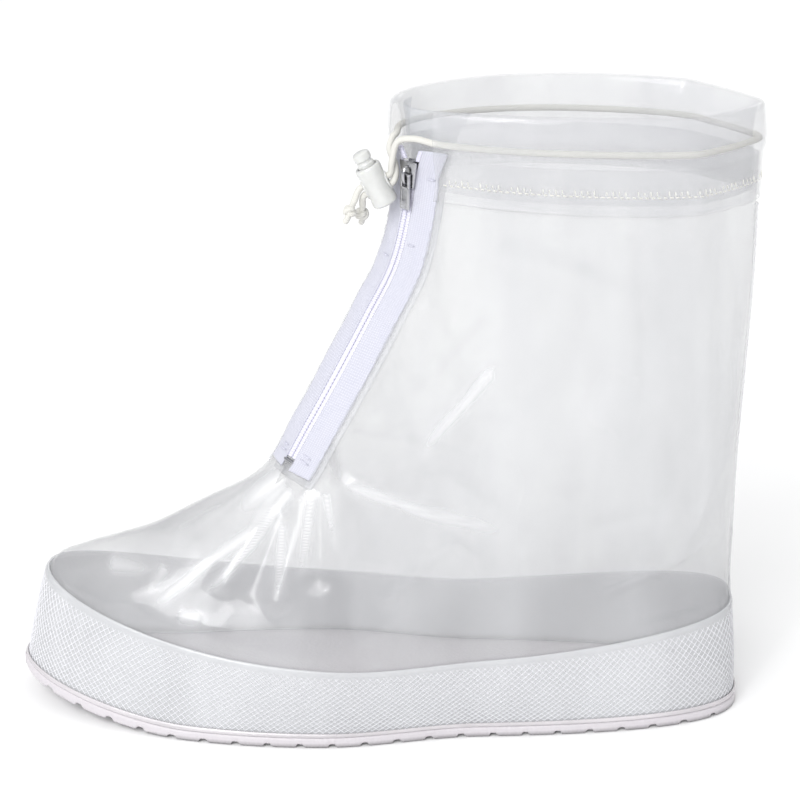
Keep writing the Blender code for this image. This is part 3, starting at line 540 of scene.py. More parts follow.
# Rand. A wide band of film round the foot with a white net of fine threads pressed into it. It is welded
# to the upper along a low bead at its top edge and to the sole along its foot.
rand_film = film_finish("rand_film", (0.8, 0.81, 0.83), 0.42, 0.56, 0.0012)


def round_the_foot(row, shares, out):
    return on_skin(row, both_ways(row, shares, 0.0, 0.0, bunched=0.0), out + np.zeros(len(shares)))


def rand_line(line, shares):
    row = RAND_ROW * line / 40
    bead = 0.00045 * math.exp(-(((line - 38.0) / 1.1) ** 2)) + 0.0004 * math.exp(-((line / 2.0) ** 2))
    return round_the_foot(row, shares, 0.0003 + bead) + np.array([0.0, 0.0, 0.0003 if line == 0 else 0.0])


rand_band = mapped_sheet("rand_band", 320, 40, rand_line, merge=True, wall=0.0008)
dress(rand_band, rand_film, "mesh_film", "rand")

net_white = new_finish("net_thread", (0.88, 0.88, 0.91), 0.42)
net_fuzz = add_node(net_white, "TexNoise", {"Vector": own_places(net_white), "Scale": 2200.0})
on_shader(net_white, {"Base Color": tone(net_white, net_fuzz, (0.76, 0.76, 0.8), (0.89, 0.89, 0.92))})
NET_PITCH = 0.0027
NET_THREAD = 0.00042
NET_EDGE_LIFT = 0.00106
NET_CREST_LIFT = 0.00128
NET_RAILS = ((-NET_THREAD / 2, NET_EDGE_LIFT), (0.0, NET_CREST_LIFT), (NET_THREAD / 2, NET_EDGE_LIFT))
net_levels = np.linspace(0.1, RAND_ROW - 0.13, 13)
foot_right, foot_left = side_length(1.0, 1), side_length(1.0, -1)
foot_round = foot_right + foot_left
net_count = int(foot_round / NET_PITCH)
for net_name, slant in (("rand_net_up", 1.0), ("rand_net_down", -1.0)):
    net_lines = []
    net_foot = skin(net_levels[0], 0.05)[2]
    for level in net_levels:
        base = np.arange(net_count) * foot_round / net_count + slant * (skin(level, 0.05)[2] - net_foot)
        rails = []
        for offset, lift in NET_RAILS:
            here = (base + offset) % foot_round
            share = np.where(here < foot_right, here / foot_right, (foot_round - here) / foot_left)
            along = np.where(here < foot_right, share * side_length(level, 1), -share * side_length(level, -1))
            rails.append(on_skin(level, along, np.full(net_count, lift)))
        net_lines.append(rails)
    net = bmesh.new()
    for thread in range(net_count):
        made = bmesh.ops.create_grid(net, x_segments=2, y_segments=len(net_levels) - 1, size=0.5)["verts"]
        for corner in made:
            step = round((corner.co.y + 0.5) * (len(net_levels) - 1))
            corner.co = net_lines[step][round((0.5 - corner.co.x) * 2)][thread]
    dress(new_piece(net_name, net, wall=0.0002, inwards=True), net_white, "mesh_film")

# Foot weld. The rand's foot is welded to the sole's flange under a rounded, finely ribbed bead of film.
foot_film = film_finish("foot_weld_film", (0.8, 0.765, 0.79), 0.62, 0.8, 0.0008)


def foot_weld_line(line, shares):
    swell = 0.0004 * math.sin(math.pi * line / 8)
    grain = 0.00008 * np.sin(shares * math.tau * 190.0) * (line % 2)
    return round_the_foot(0.01 + 0.155 * line / 8, shares, 0.0014 + swell + grain)


dress(mapped_sheet("foot_weld", 760, 8, foot_weld_line, merge=True, wall=0.0004), foot_film, "mesh_film")

# Sole. A moulded white vinyl plate with a rounded flange that the rand is welded to, ribbed on its edge,
# flat inside and grooved across underneath, its colour darker towards the bottom and darkest on the tread.
sole_white = new_finish("sole_white", (0.76, 0.745, 0.77), 0.42)
sole_place = own_places(sole_white)
# Darker towards the bottom: the colour falls from 2.4 mm above the ground to its darkest at 0.6 mm.
sole_height = add_node(sole_white, "SeparateXYZ", {0: sole_place}, "Z")
sole_ramp = add_node(sole_white, "MapRange", {"Value": sole_height, "From Min": 0.0006, "From Max": 0.0024})
sole_tone = tone(sole_white, sole_ramp, (0.34, 0.33, 0.34), (0.66, 0.635, 0.66))
sole_spots = add_node(sole_white, "TexNoise", {"Vector": sole_place, "Scale": 60.0})
sole_grain = add_node(sole_white, "TexVoronoi", {"Vector": sole_place, "Scale": 620.0}, "Distance")
on_shader(sole_white, {
    "Base Color": tone(sole_white, sole_spots, sole_tone, (0.95, 0.93, 0.94), blend_type="MULTIPLY"),
    "Normal": relief(sole_white, sole_grain, 0.35, 0.0004),
    "Subsurface Weight": 0.12,
    "Subsurface Radius": (0.004, 0.004, 0.004),
})
FLANGE = 0.0022
TREAD_PITCH = 0.0126
TREAD_GROOVE = 0.0036
TREAD_DEPTH = 0.0014
TREAD_START = 0.01
OUTLINE_ROW = 0.02
OUTLINE_STEPS = 1201
TOE_ROUND = 0.004
HEEL_ROUND = 0.003
foot_points = ring(0.0)[1]
foot_front, foot_back = foot_points[:, 0].min() - FLANGE, foot_points[:, 0].max() + FLANGE
outline_along = np.linspace(-side_length(OUTLINE_ROW, -1), side_length(OUTLINE_ROW, 1), OUTLINE_STEPS)
foot_outline = on_skin(OUTLINE_ROW, outline_along, np.full(OUTLINE_STEPS, FLANGE))
left_outline, right_outline = (half[np.argsort(half[:, 0])] for half in (foot_outline[:600], foot_outline[601:]))
sole_stations = np.concatenate([
    foot_front + TOE_ROUND * (1.0 - np.cos(np.linspace(0.0, math.pi / 2, 14)))[:-1],
    np.linspace(foot_front + TOE_ROUND, foot_back - HEEL_ROUND, 420)[:-1],
    foot_back - HEEL_ROUND * (1.0 - np.sin(np.linspace(0.0, math.pi / 2, 12))),
])
sole_stations[0] = foot_front + 0.00001
sole_stations[-1] = foot_back - 0.00001


def sole_line(line, shares):
    x = float(sole_stations[line])
    low_y, high_y = (np.interp(x, outline[:, 0], outline[:, 1]) for outline in (left_outline, right_outline))
    centre, half = (low_y + high_y) / 2.0, (high_y - low_y) / 2.0
    if line in (0, len(sole_stations) - 1):
        half = 0.0
    spring = float(sole_spring(x))
    phase = (x - foot_front - TREAD_START) % TREAD_PITCH
    grooved = foot_front + TREAD_START < x < foot_back - TREAD_START
    wall = min(phase, TREAD_GROOVE - phase)
    groove = float(smooth_step(0.0, 0.0007, wall)) if grooved and wall > 0 else 0.0
    turn = math.tau * shares
    across = np.clip(-np.cos(turn) * 1.25, -1.0, 1.0)
    side_rise = np.clip(np.sin(turn) * 1.8, -1.0, 1.0)
    bow = 1.0 - np.sqrt(np.clip(1.0 - side_rise**4, 0.0, 1.0))
    round_off = 1.0 - 0.0012 / max(half, 0.0013) * bow * (np.abs(across) > 0.9)
    rib = 1.0 + (0.00012 / max(half, 0.002)) * math.sin(x * math.tau / 0.0016) * (np.abs(side_rise) < 0.9)
    y = centre - half * across * round_off * rib
    low = TREAD_DEPTH * groove
    z = spring + low + (SOLE_TOP - 0.0001 - low) * (side_rise + 1.0) / 2.0
    return np.stack([np.full(len(shares), x), y, z], axis=1)


def outward(shape):
    bmesh.ops.recalc_face_normals(shape, faces=shape.faces[:])


sole_last = len(sole_stations) - 1
sole_plate = mapped_sheet("sole_plate", 40, sole_last, sole_line, merge=True, work=outward, sharp=50.0)
dress(sole_plate, sole_white, "white_sole", "outsole")

# Hem. The film is folded over the rim, its raw edge outside, and sewn down in one row of cream thread.
# The cord runs in the roomy top of the fold, and the fold stays open at the front.
CORD = 0.0026
CORD_ROOM = 0.0011
hem_room = CORD / 2 + CORD_ROOM
hem_middle = -0.0005
HEM_OUTSIDE = ((HEM_DEPTH, 0.0007), (0.0262, 0.0007), (0.0252, 0.0006), (0.0242, 0.0007), (FILM_TOP_DROP, 0.0008))
HEM_FOLD = (
    (CORD_DROP + CORD * 0.9, 0.85), (CORD_DROP + CORD * 0.45, 1.0), (CORD_DROP - CORD * 0.45, 1.0),
    (CORD_DROP - CORD, 0.9), (CORD_DROP * 0.35, 0.7), (0.001, 0.45), (0.0, 0.15),
    (0.0, -0.15), (0.001, -0.45), (CORD_DROP * 0.35, -0.75),
    (CORD_DROP - CORD * 0.55, -1.0), (CORD_DROP + CORD * 0.55, -1.0),
)
HEM_INSIDE = ((FILM_TOP_DROP, -0.0018), (0.029, -0.0018))
hem_path = [*HEM_OUTSIDE, *((drop, hem_middle + hem_room * share) for drop, share in HEM_FOLD), *HEM_INSIDE]
hem_steps = np.linspace(0.0, len(hem_path) - 1, 55)
hem_drops, hem_outs = (np.interp(hem_steps, range(len(hem_path)), column) for column in zip(*hem_path))
hem_rows = [row_at_drop(float(drop)) for drop in hem_drops]
OUTSIDE_LINES = 15
FOLD_LINES = 33
PUCKER = 0.0046
flap_left = zip_centre(CORD_ROW) - slot_half(CORD_ROW) - 0.0015
flap_right = zip_centre(CORD_ROW) + slot_half(CORD_ROW) + 0.0015


def over_the_tape(row, along):
    """The hem's outer layer rises over the zip's tapes."""
    from_zip = np.abs(along - zip_centre(row)) - open_width(row)
    return 0.0014 * (1.0 - smooth_step(0.015, 0.023, from_zip))


def hem_line(line, shares):
    row, drop = hem_rows[line], hem_drops[line]
    along = both_ways(row, shares, flap_right, flap_left)
    out = np.full(len(shares), hem_outs[line])
    if line < OUTSIDE_LINES:
        out += over_the_tape(row, along) * float(smooth_step(0.0125, FILM_TOP_DROP, drop))
        pucker = np.sin(along * math.tau / PUCKER) + 0.6 * np.sin(along * math.tau / 0.0117 + 1.3)
        out += 0.00016 * pucker * math.exp(-(((drop - 0.0255) / 0.0035) ** 2))
    elif line < FOLD_LINES:
        out += 0.0003 * np.sin(along * math.tau / 0.041) * math.exp(-(((drop - 0.005) / 0.004) ** 2))
    return on_skin(row, along, out)


hem_film = film_finish("hem_film", (0.69, 0.695, 0.715), 0.13, 0.24, 0.0016)
hem_band = mapped_sheet("hem_band", 300, len(hem_rows) - 1, hem_line, merge=True, wall=0.0006)
dress(hem_band, hem_film, "clear_film", "hem_casing")


def thread_finish(name, colour, twist, stray, strength):
    """Twisted sewing thread."""
    thread = new_finish(name, colour, 0.6)
    turns = {"Vector": own_places(thread), "Scale": twist, "Distortion": stray}
    on_shader(thread, {"Normal": relief(thread, add_node(thread, "TexWave", turns, "Fac"), strength, 0.0001)})
    return thread


thread_cream = thread_finish("sewing_thread", (0.93, 0.91, 0.84), 900.0, 1.0, 0.4)


def sew(shape, row, along, lift, length, thick, turn):
    """One stitch: a short thread that lies on the film."""
    point, out, round_way, up = (Vector(part) for part in skin_frame(row, along))
    axes = Matrix((round_way, up, round_way.cross(up))).transposed().to_4x4()
    place = Matrix.Translation(point + out * lift) @ axes @ Matrix.Rotation(turn, 4, "Z")
    size = Matrix.Diagonal((length / 2, thick / 2, thick / 2, 1.0))
    bmesh.ops.create_icosphere(shape, subdivisions=1, radius=1.0, matrix=place @ size)


STITCH_PITCH = 0.0023
SEAM_END = 0.003
hem_seam = bmesh.new()
seam_row, tick_row = row_at_drop(0.0252), row_at_drop(0.024)
seam_left, seam_right = side_length(seam_row, -1), side_length(seam_row, 1)
seam_run = (seam_right - flap_right) + (seam_left + flap_left) - 2.0 * SEAM_END
stitch_count = int(seam_run / STITCH_PITCH)
for stitch in range(stitch_count):
    along = flap_right + SEAM_END + (stitch + 0.5) * seam_run / stitch_count
    if along > seam_right:
        along -= seam_left + seam_right
    lift = 0.00142 + float(over_the_tape(seam_row, along))
    sew(hem_seam, seam_row, along, lift, 0.0019, 0.00042, math.radians(4.0))
    if stitch % 5 != 3:
        sew(hem_seam, tick_row, along + 0.0009, lift, 0.0017 + 0.0005 * (stitch % 3), 0.00036, math.radians(82.0))
outward(hem_seam)
dress(new_piece("hem_stitches", hem_seam), thread_cream, "clear_film")

# Zip tapes. Two white woven tapes, a little violet in the light, laid flat on the film with their rolled
# edges meeting over the coil. Above the slider they spread to open the throat.
TAPE_INNER = 0.0022
TAPE_WIDTH = 0.0101
TAPE_START = ZIP_END_ROW - 0.16
TAPE_END = CORD_ROW - 0.19


def cloth_places(finish):
    return add_node(finish, "UVMap", {}, uv_map="cloth")


def woven(finish, way, scale, stray):
    waves = {"Vector": cloth_places(finish), "Scale": scale, "Distortion": stray}
    return add_node(finish, "TexWave", waves, "Fac", bands_direction=way)


tape_white = new_finish("zip_tape", (0.8, 0.79, 0.92), 0.75)
tape_threads = {0: woven(tape_white, "Y", 430.0, 0.4), 1: woven(tape_white, "X", 300.0, 0.3)}
tape_weave = add_node(tape_white, "Math", tape_threads, operation="MULTIPLY")
tape_tone = tone(tape_white, tape_weave, (0.57, 0.57, 0.64), (0.7, 0.7, 0.77))
tape_cloud = add_node(tape_white, "TexNoise", {"Vector": cloth_places(tape_white), "Scale": 160.0, "Detail": 3.0})
on_shader(tape_white, {
    "Base Color": tone(tape_white, tape_cloud, tape_tone, (0.93, 0.94, 0.97), blend_type="MULTIPLY"),
    "Normal": relief(tape_white, tape_weave, 0.5, 0.0002),
    "Sheen Weight": 0.3,
})


def zip_place(row, across, out):
    return on_skin(row, zip_centre(row) + np.asarray(across, float), out)


for tape_name, tape_side in (("left", -1), ("right", 1)):

    def tape_line(line, shares, side=tape_side):
        row = TAPE_START + (TAPE_END - TAPE_START) * line / 220
        share = 1.0 - shares if side < 0 else shares
        across = TAPE_INNER + open_width(row) + TAPE_WIDTH * share
        curl = 0.00055 * np.exp(-((share / 0.12) ** 2)) + 0.00012 * np.exp(-(((share - 0.93) / 0.05) ** 2))
        slack = 0.00018 * np.sin(row * 9.0 + 3.0 * share) * share
        return zip_place(row, side * across, 0.0007 + curl + slack)

    tape = mapped_sheet(f"zip_tape_cloth_{tape_name}", 18, 220, tape_line, wall=0.0005)
    dress(tape, tape_white, "white_tape", f"zip_tape_{tape_name}")

# Zip coil. Two nylon coils sewn along the tapes' inner edges, closed below the slider into one ribbed
# cord with a dark line down its middle, and open above it.
coil_white = new_finish("zip_coil", (0.74, 0.73, 0.86), 0.5)
on_shader(coil_white, {"Normal": relief(coil_white, woven(coil_white, "Y", 260.0, 0.0), 0.6, 0.0003)})


def close_ends(shape):
    bmesh.ops.holes_fill(shape, edges=shape.edges, sides=0)
    outward(shape)


for coil_name, coil_side, coil_start, coil_end, coil_lines, coil_node in (
    ("coil_left", -1, ZIP_END_ROW, SLIDER_ROW - 0.02, 420, "zip_chain"),
    ("coil_right", 1, ZIP_END_ROW, SLIDER_ROW - 0.02, 420, "zip_chain"),
    ("open_coil_left", -1, SLIDER_ROW + 0.3, TAPE_END - 0.03, 40, "zip_teeth_left"),
    ("open_coil_right", 1, SLIDER_ROW + 0.3, TAPE_END - 0.03, 40, "zip_teeth_right"),
):

    def coil_line(line, shares, side=coil_side, start=coil_start, end=coil_end, lines=coil_lines):
        row = start + (end - start) * line / lines
        turn = math.tau * shares
        middle = side * (0.00128 + open_width(row))
        rib = 1.0 + 0.07 * math.sin(line * math.pi / 2.0)
        fade = 0.35 if line in (0, lines) else 1.0
        across = middle + 0.00118 * np.cos(turn) * rib * fade
        return zip_place(row, across, 0.0009 + 0.00085 * np.sin(turn) * rib * fade)

    coil = mapped_sheet(coil_name, 12, coil_lines, coil_line, merge=True, work=close_ends)
    dress(coil, coil_white, "white_tape", coil_node)

# Zip trim. A narrow welded lip of film runs beside each tape, short bars of thread tack the tapes down,
# and a film flap behind the zip keeps water out and fills the open throat.
for lip_name, lip_side in (("left", -1), ("right", 1)):

    def lip_line(line, shares, side=lip_side):
        row = TAPE_START - 0.1 + (HEM_ROW + 0.1 - TAPE_START) * line / 160
        share = 1.0 - shares if side < 0 else shares
        across = 0.0118 + open_width(row) + 0.003 * share
        swell = 0.00035 * np.sin(math.pi * share) + 0.0006 * (1.0 - share)
        return zip_place(row, side * across, 0.0003 + swell + 0.0001 * math.sin(line * 0.9))

    dress(mapped_sheet(f"zip_lip_{lip_name}", 6, 160, lip_line, wall=0.0004), weld_film, "clear_film")

tacks = bmesh.new()
for tack_row, tack_across, tack_length, tack_turn in (
    (10.16, -0.0095, 0.0046, 0.0),
    (9.22, -0.0052, 0.004, 0.0),
    (8.98, 0.0058, 0.0046, 0.0),
    (10.16, 0.01, 0.0046, 0.0),
    (ZIP_END_ROW + 0.03, -0.0064, 0.0058, 8.0),
    (ZIP_END_ROW + 0.03, 0.0064, 0.0058, -8.0),
    (ZIP_END_ROW + 0.1, -0.0064, 0.005, 8.0),
    (ZIP_END_ROW + 0.1, 0.0064, 0.005, -8.0),
):
    parted = math.copysign(open_width(tack_row), tack_across)
    tack_along = zip_centre(tack_row) + tack_across + parted
    sew(tacks, tack_row, tack_along, 0.0015, tack_length, 0.0006, math.radians(tack_turn))
outward(tacks)
tack_thread = thread_finish("tack_thread", (0.68, 0.68, 0.78), 1500.0, 0.0, 0.5)
dress(new_piece("zip_tacks", tacks), tack_thread, "white_tape")

gusset_film = film_finish("gusset_film", (0.58, 0.6, 0.635), 0.22, 0.34, 0.0016)


def gusset_line(line, shares):
    row = ZIP_END_ROW - 0.3 + (RIM_ROW - 0.1 - ZIP_END_ROW + 0.3) * line / 110
    across = (2.0 * shares - 1.0) * (ZIP_SLOT / 2 + 0.0075 + open_width(row))
    edge = -0.0017 - 0.0036 * float(smooth_step(HEM_ROW - 1.0, HEM_ROW - 0.2, row))
    belly = np.cos(math.pi * shares - math.pi / 2.0)
    depth = edge + (-0.0054 - edge) * belly * (1.0 - float(smooth_step(SLIDER_ROW, SLIDER_ROW + 0.8, row)))
    depth = depth + 0.0022 * belly * float(smooth_step(SLIDER_ROW + 0.2, CORD_ROW, row))
    return zip_place(row, across, depth)


gusset = mapped_sheet("gusset_flap", 32, 110, gusset_line, wall=0.0006, inwards=True)
dress(gusset, gusset_film, "clear_film", "zip_gusset")

# Slider. Die-cast zinc, nickel plated and polished: two shield-shaped plates round the coil, joined by a
# wedge at the top, with a round bridge that the pull hangs from.
bright_metal = new_finish("bright_metal", (0.5, 0.5, 0.52), 0.2)
metal_noise = add_node(bright_metal, "TexNoise", {"Vector": own_places(bright_metal), "Scale": 700.0, "Detail": 4.0})
on_shader(bright_metal, {
    "Base Color": tone(bright_metal, metal_noise, (0.3, 0.3, 0.32), (0.66, 0.66, 0.68)),
    "Roughness": add_node(bright_metal, "MapRange", {"Value": metal_noise, "To Min": 0.1, "To Max": 0.34}),
    "Metallic": 1.0,
})
SLIDER_PLATE = 0.0011
BRIDGE_WIRE = 0.0012
CHAIN_TOP = 0.002
CHAIN_LOW = 0.0
PLATE_GAP = 0.0003
HINGE_Z = CHAIN_TOP + PLATE_GAP + SLIDER_PLATE + (BRIDGE_WIRE + 0.0006) / 2
METAL_EDGE = 40.0


def zip_axes(row):
    point, out, round_way, up = (Vector(part) for part in skin_frame(row, zip_centre(row)))
    return Matrix.Translation(point) @ Matrix((-round_way, up, out)).transposed().to_4x4()


def soft_box_shape(shape, size, centre, waist=0.0, bevel=0.0003):
    """A block with rounded edges, its lower end narrowed by waist."""
    place = Matrix.Translation(centre) @ Matrix.Diagonal((*size, 1.0))
    corners = bmesh.ops.create_cube(shape, size=1.0, matrix=place)["verts"]
    for corner in corners:
        if corner.co.y < centre[1]:
            corner.co.x = centre[0] + (corner.co.x - centre[0]) * (1.0 - waist)
    edges = list({edge for corner in corners for edge in corner.link_edges})
    bmesh.ops.bevel(
        shape, geom=edges, offset=bevel, affect="EDGES", segments=3, profile=0.5, material=-1, clamp_overlap=True
    )


slider_shape = bmesh.new()
plate_z = CHAIN_TOP + PLATE_GAP + SLIDER_PLATE / 2
low_z = CHAIN_LOW - PLATE_GAP - SLIDER_PLATE / 2
soft_box_shape(slider_shape, (0.009, 0.01, SLIDER_PLATE), (0.0, 0.0, plate_z), 0.3, 0.0004)
soft_box_shape(slider_shape, (0.007, 0.0098, SLIDER_PLATE), (0.0, 0.0, low_z), 0.15, 0.0003)
soft_box_shape(slider_shape, (0.0018, 0.003, plate_z - low_z), (0.0, 0.0034, (plate_z + low_z) / 2), 0.2, 0.0002)
bridge_spine = [
    Vector((0.0, 0.0031 * math.cos(turn), plate_z + 0.0004 + 0.00245 * math.sin(turn) ** 0.6))
    for turn in np.linspace(0.02, math.pi - 0.02, 15)
]
bridge_ring = bmesh.ops.create_circle(
    slider_shape, segments=10, radius=0.5,
    matrix=Matrix.Translation(bridge_spine[0]) @ Matrix.Diagonal((0.0018, BRIDGE_WIRE, 1.0, 1.0)),
)["verts"]
bridge_edges = list({edge for corner in bridge_ring for edge in corner.link_edges})
for before, after in zip(bridge_spine, bridge_spine[1:]):
    grown = bmesh.ops.extrude_edge_only(slider_shape, edges=bridge_edges)["geom"]
    moved = [part for part in grown if isinstance(part, bmesh.types.BMVert)]
    bridge_edges = [
        part for part in grown if isinstance(part, bmesh.types.BMEdge) and all(end in moved for end in part.verts)
    ]
    way = (after - before).normalized()
    here = sum((corner.co for corner in moved), Vector()) / len(moved)
    normal = (moved[0].co - here).cross(moved[2].co - here).normalized()
    if normal.dot(way) < 0:
        normal = -normal
    turn = normal.rotation_difference(way).to_matrix()
    for corner in moved:
        corner.co = after + turn @ (corner.co - here)
close_ends(slider_shape)
slider_shape.transform(zip_axes(SLIDER_ROW))
dress(new_piece("slider_body", slider_shape, METAL_EDGE), bright_metal, "bright_metal", "zip_slider")

# Pull. A pressed tab of the same plated zinc with a square eye at its top, a sunk panel down both faces
# and rounded corners. It swings on the slider's bridge.
PULL_WIDTH = 0.005
PULL_LENGTH = 0.0135
PULL_PLATE = 0.0012
PULL_EYE = 0.0048
pull_shape = bmesh.new()
tab_middle = -(PULL_LENGTH + PULL_EYE) / 2 + 0.0003
soft_box_shape(pull_shape, (PULL_WIDTH, PULL_LENGTH - PULL_EYE, PULL_PLATE), (0.0, tab_middle, 0.0), 0.0, 0.00045)
for face in [face for face in pull_shape.faces if abs(face.normal.z) > 0.99 and face.calc_area() > 1e-5]:
    bmesh.ops.inset_region(pull_shape, faces=[face], thickness=0.0007, depth=0.0)
    bmesh.ops.inset_region(pull_shape, faces=[face], thickness=0.0002, depth=-0.0002)
arm_x = PULL_WIDTH / 2 - 0.0006
soft_box_shape(pull_shape, (PULL_WIDTH, 0.0012, 0.0012), (0.0, 0.0, 0.0))
for arm_side in (-1, 1):
    soft_box_shape(pull_shape, (0.00114, PULL_EYE, 0.00114), (arm_side * arm_x, -PULL_EYE / 2, 0.0))
outward(pull_shape)
pull_shape.transform(zip_axes(SLIDER_ROW) @ Matrix.Translation((0.0, 0.0, HINGE_Z)))
dress(new_piece("pull_tab", pull_shape, METAL_EDGE), bright_metal, "bright_metal", "zip_pull", body="pull")

stop_shape = bmesh.new()
soft_box_shape(stop_shape, (0.0052, 0.0011, 0.0022), (0.0, 0.0, 0.0012))
stop_shape.transform(zip_axes(ZIP_END_ROW - 0.045))
dress(new_piece("bottom_stop", stop_shape, METAL_EDGE), bright_metal, "bright_metal", "zip_bottom_stop")

# Cord lock. A barrel and a button of milky half-clear plastic, moulded, with a spring between them. The
# two strands of the cord cross them through a slot with a raised lip.
milky_plastic = new_finish("milky_plastic", (0.84, 0.84, 0.8), 0.28)
lock_cloud = add_node(milky_plastic, "TexNoise", {"Vector": own_places(milky_plastic), "Scale": 260.0})
on_shader(milky_plastic, {
    "Base Color": tone(milky_plastic, lock_cloud, (0.6, 0.605, 0.59), (0.73, 0.735, 0.72)),
    "Normal": relief(milky_plastic, lock_cloud, 0.15, 0.0003),
    "Subsurface Weight": 0.35,
    "Subsurface Radius": (0.003, 0.003, 0.0025),
    "Coat Weight": 0.3,
})
LOCK_RADIUS = 0.005
LOCK_HALF = 0.00825
BUTTON_RISE = 0.006
lock_centre = skin(SLIDER_ROW, zip_centre(SLIDER_ROW)) + np.array([-0.0138, 0.0012, -0.005])
lock_axes = Matrix.Translation(Vector(lock_centre)) @ Matrix.Rotation(math.radians(-27.0), 4, "Y")


def on_the_lock(shape):
    outward(shape)
    shape.transform(lock_axes)


def turned(name, outline, node, body="cover"):
    """A turned piece: its outline of (radius, height) spun round the lock's axis."""
    shape = bmesh.new()
    corners = [shape.verts.new((radius, 0.0, height)) for radius, height in outline]
    edges = [shape.edges.new(pair) for pair in zip(corners, corners[1:])]
    bmesh.ops.spin(
        shape, geom=corners + edges, cent=(0, 0, 0), axis=(0, 0, 1), angle=math.tau, steps=40, use_merge=True
    )
    bmesh.ops.remove_doubles(shape, verts=shape.verts, dist=0.000005)
    on_the_lock(shape)
    dress(new_piece(name, shape, 35.0), milky_plastic, "milky_plastic", node, body=body)


turned(
    "lock_barrel",
    (
        (0.0, -LOCK_HALF), (0.003, -LOCK_HALF), (0.0044, -LOCK_HALF + 0.0003), (0.00495, -LOCK_HALF + 0.001),
        (0.005, -LOCK_HALF + 0.0022), (0.00478, -0.004), (0.0047, 0.0), (0.00478, 0.004),
        (0.005, LOCK_HALF - 0.002), (0.005, LOCK_HALF - 0.001), (0.00485, LOCK_HALF - 0.0003),
        (0.0046, LOCK_HALF), (0.0038, LOCK_HALF), (0.00372, LOCK_HALF - 0.0004), (0.00372, 0.003), (0.0, 0.003),
    ),
    "cord_lock_barrel",
)
turned(
    "lock_button",
    (
        (0.0, 0.006), (0.003, 0.006), (0.0033, 0.0064), (0.00335, LOCK_HALF + 0.0012),
        (0.0029, LOCK_HALF + 0.0018), (0.0029, LOCK_HALF + 0.0024), (0.00335, LOCK_HALF + 0.0029),
        (0.0034, LOCK_HALF + BUTTON_RISE - 0.0016), (0.0032, LOCK_HALF + BUTTON_RISE - 0.0007),
        (0.0026, LOCK_HALF + BUTTON_RISE - 0.0002), (0.0012, LOCK_HALF + BUTTON_RISE), (0.0, LOCK_HALF + BUTTON_RISE),
    ),
    "cord_lock_button", "lock_button",
)
for lip_side in (-1, 1):

    def eyelet_line(line, shares, side=lip_side):
        turn = math.tau * line / 36
        roll = math.tau * shares
        wide = 0.0018 + 0.00042 * np.cos(roll)
        tall = 0.0033 + 0.00042 * np.cos(roll)
        y, z = wide * math.cos(turn), tall * math.sin(turn)
        x = side * (np.sqrt(0.0048**2 - y**2) + 0.00042 * np.sin(roll))
        return np.stack([x, y, z], axis=1)

    lip_name = f"lock_lip_{'left' if lip_side < 0 else 'right'}"
    eyelet = mapped_sheet(lip_name, 10, 36, eyelet_line, merge=True, work=on_the_lock)
    dress(eyelet, milky_plastic, "milky_plastic")

# Drawcord. A braided white cord that runs round in the hem, leaves it by both mouths, crosses the lock
# and ends in two knots that keep it from slipping out.
cord_white = new_finish("cord_white", (0.86, 0.85, 0.79), 0.7)
cord_turn = {"Vector": cloth_places(cord_white), "Rotation": (0.0, 0.0, math.radians(38.0))}
cord_lay = add_node(cord_white, "Mapping", cord_turn)
cord_strands = add_node(cord_white, "TexWave", {"Vector": cord_lay, "Scale": 520.0}, "Fac")
on_shader(cord_white, {
    "Base Color": tone(cord_white, cord_strands, (0.62, 0.61, 0.565), (0.77, 0.76, 0.72)),
    "Normal": relief(cord_white, cord_strands, 0.4, 0.00015),
    "Sheen Weight": 0.2,
})


def strand(level, tail):
    """Where a strand crosses the lock: in on the right, out on the left, and its end."""
    height = level * (CORD + 0.0006) / 2
    reach = LOCK_RADIUS + 0.0012
    out_point = lock_axes @ Vector((-reach, 0.0, height))
    return [
        lock_axes @ Vector((reach, 0.0, height)), lock_axes @ Vector((0.0, 0.0, height)),
        out_point, out_point + Vector(tail),
    ]


def in_the_hem(along):
    return Vector(on_skin(CORD_ROW, along, hem_middle))


left_mouth, right_mouth = in_the_hem(flap_left), in_the_hem(flap_right)
upper_strand = strand(1, (-0.0026, -0.0024, -0.0052))
lower_strand = strand(-1, (-0.0006, 0.0022, -0.0052))
LEFT_STRAND = ((-0.0164, 0.0073, -0.0088), (-0.0144, 0.0078, -0.0014), (-0.0082, 0.0052, 0.0006))
RIGHT_STRAND = ((-0.0015, -0.003, -0.0008), (-0.0026, -0.0058, -0.0046), (-0.0004, -0.0078, -0.0108))
cord_points = list(reversed(upper_strand)) + [left_mouth + Vector(offset) for offset in LEFT_STRAND]
round_left = np.linspace(flap_left, -side_length(CORD_ROW, -1), 15)[:-1]
round_right = np.linspace(side_length(CORD_ROW, 1), flap_right, 15)
cord_points += [in_the_hem(along) for along in np.concatenate([round_left, round_right])]
cord_points += [right_mouth + Vector(offset) for offset in RIGHT_STRAND] + lower_strand


def smooth_route(points, spacing):
    """Even steps along a smooth curve through the route's points, and its length."""
    dense = []
    ends = [points[0] * 2 - points[1], *points, points[-1] * 2 - points[-2]]
    for four in zip(ends, ends[1:], ends[2:], ends[3:]):
        dense += [between(*four, share) for share in np.arange(12) / 12]
    dense.append(points[-1])
    dense = np.array([list(point) for point in dense])
    along = np.concatenate([[0.0], np.cumsum(np.linalg.norm(np.diff(dense, axis=0), axis=1))])
    even = np.linspace(0.0, along[-1], round(along[-1] / spacing) + 1)
    return np.stack([np.interp(even, along, dense[:, axis]) for axis in range(3)], axis=1), float(along[-1])


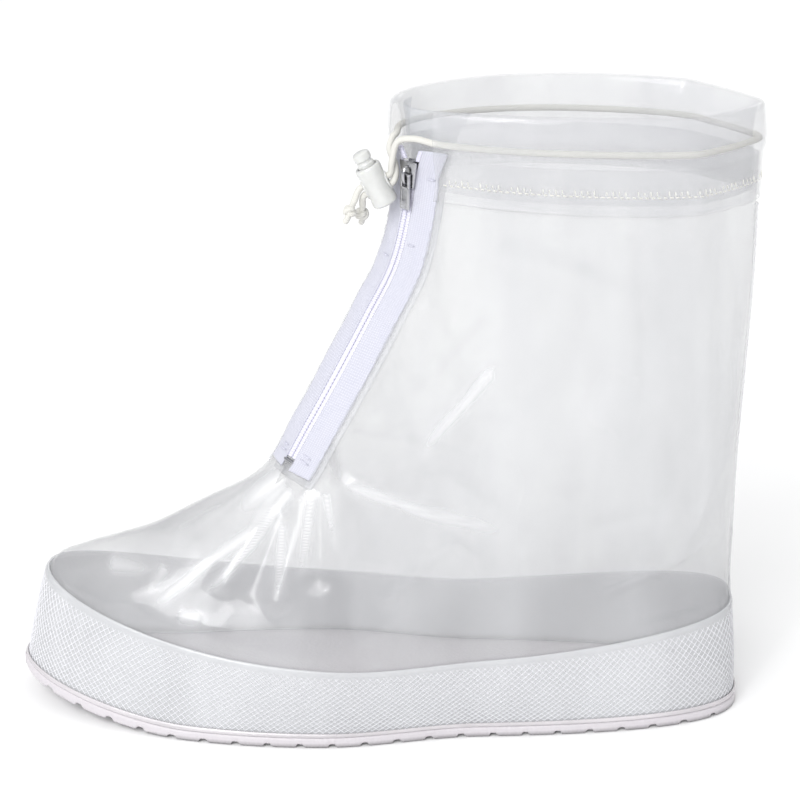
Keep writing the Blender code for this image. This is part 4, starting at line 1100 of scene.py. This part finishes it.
def braided_tube(name, line, radius):
    """A round cord along a line, its face raised in the lozenges of a braid, closed at both ends."""
    ways = np.gradient(line, axis=0)
    ways /= np.linalg.norm(ways, axis=1, keepdims=True)
    side = np.cross(ways[0], [0.3, 0.5, 0.8])
    sides = []
    for way in ways:
        side = side - way * (side @ way)
        side = side / np.linalg.norm(side)
        sides.append(side)
    last = len(line) - 1

    def tube_line(step, shares):
        turn = math.tau * shares
        lozenge = np.cos(4.0 * turn + step * math.pi / 2.5) * np.cos(4.0 * turn - step * math.pi / 2.5)
        here = radius * (0.965 + 0.05 * lozenge)
        if step in (0, last):
            here = here * 0.02
        elif step in (1, last - 1):
            here = here * 0.8
        third = np.cross(ways[step], sides[step])
        return line[step] + here[:, None] * (np.cos(turn)[:, None] * sides[step] + np.sin(turn)[:, None] * third)

    def gather_ends(shape):
        for end in (Vector(line[0]), Vector(line[-1])):
            tip = [corner for corner in shape.verts if (corner.co - end).length < radius * 0.1]
            bmesh.ops.pointmerge(shape, verts=tip, merge_co=end)
        outward(shape)

    return mapped_sheet(name, 16, last, tube_line, merge=True, work=gather_ends)


CORD_STEP = 0.00045
cord_line, cord_length = smooth_route(cord_points, CORD_STEP)
drawcord = braided_tube("drawcord_braid", cord_line, CORD / 2)
dress(drawcord, cord_white, "white_cord", "drawcord")
KNOT_RADIUS = 0.0028
for knot_name, knot_strand in (("left", upper_strand), ("right", lower_strand)):
    way = (knot_strand[3] - knot_strand[2]).normalized()
    centre = knot_strand[3] + way * (KNOT_RADIUS + 0.0003)
    turn_to = Vector((0.0, 0.0, 1.0)).rotation_difference(-way).to_matrix()
    loops = []
    for turn in np.linspace(-0.12, math.tau + 0.12, 95):
        reach = 0.0011 + 0.0006 * math.cos(3.0 * turn)
        x, y, z = reach * math.cos(2.0 * turn), reach * math.sin(2.0 * turn), 0.001 * math.sin(3.0 * turn)
        loops.append(list(centre + turn_to @ Vector((x, y, z))))
    stub = [centre - way * 0.005, centre, centre + way * 0.003 + Vector((0.0004, 0.0, 0.0)), centre + way * 0.0052]
    knot = braided_tube(f"cord_knot_ball_{knot_name}", np.array(loops), 0.00115)
    dress(knot, cord_white, "white_cord", f"cord_knot_{knot_name}")
    stub_line, _ = smooth_route(stub, CORD_STEP)
    dress(braided_tube(f"cord_end_{knot_name}", stub_line, CORD / 2 * 0.9), cord_white, "white_cord")
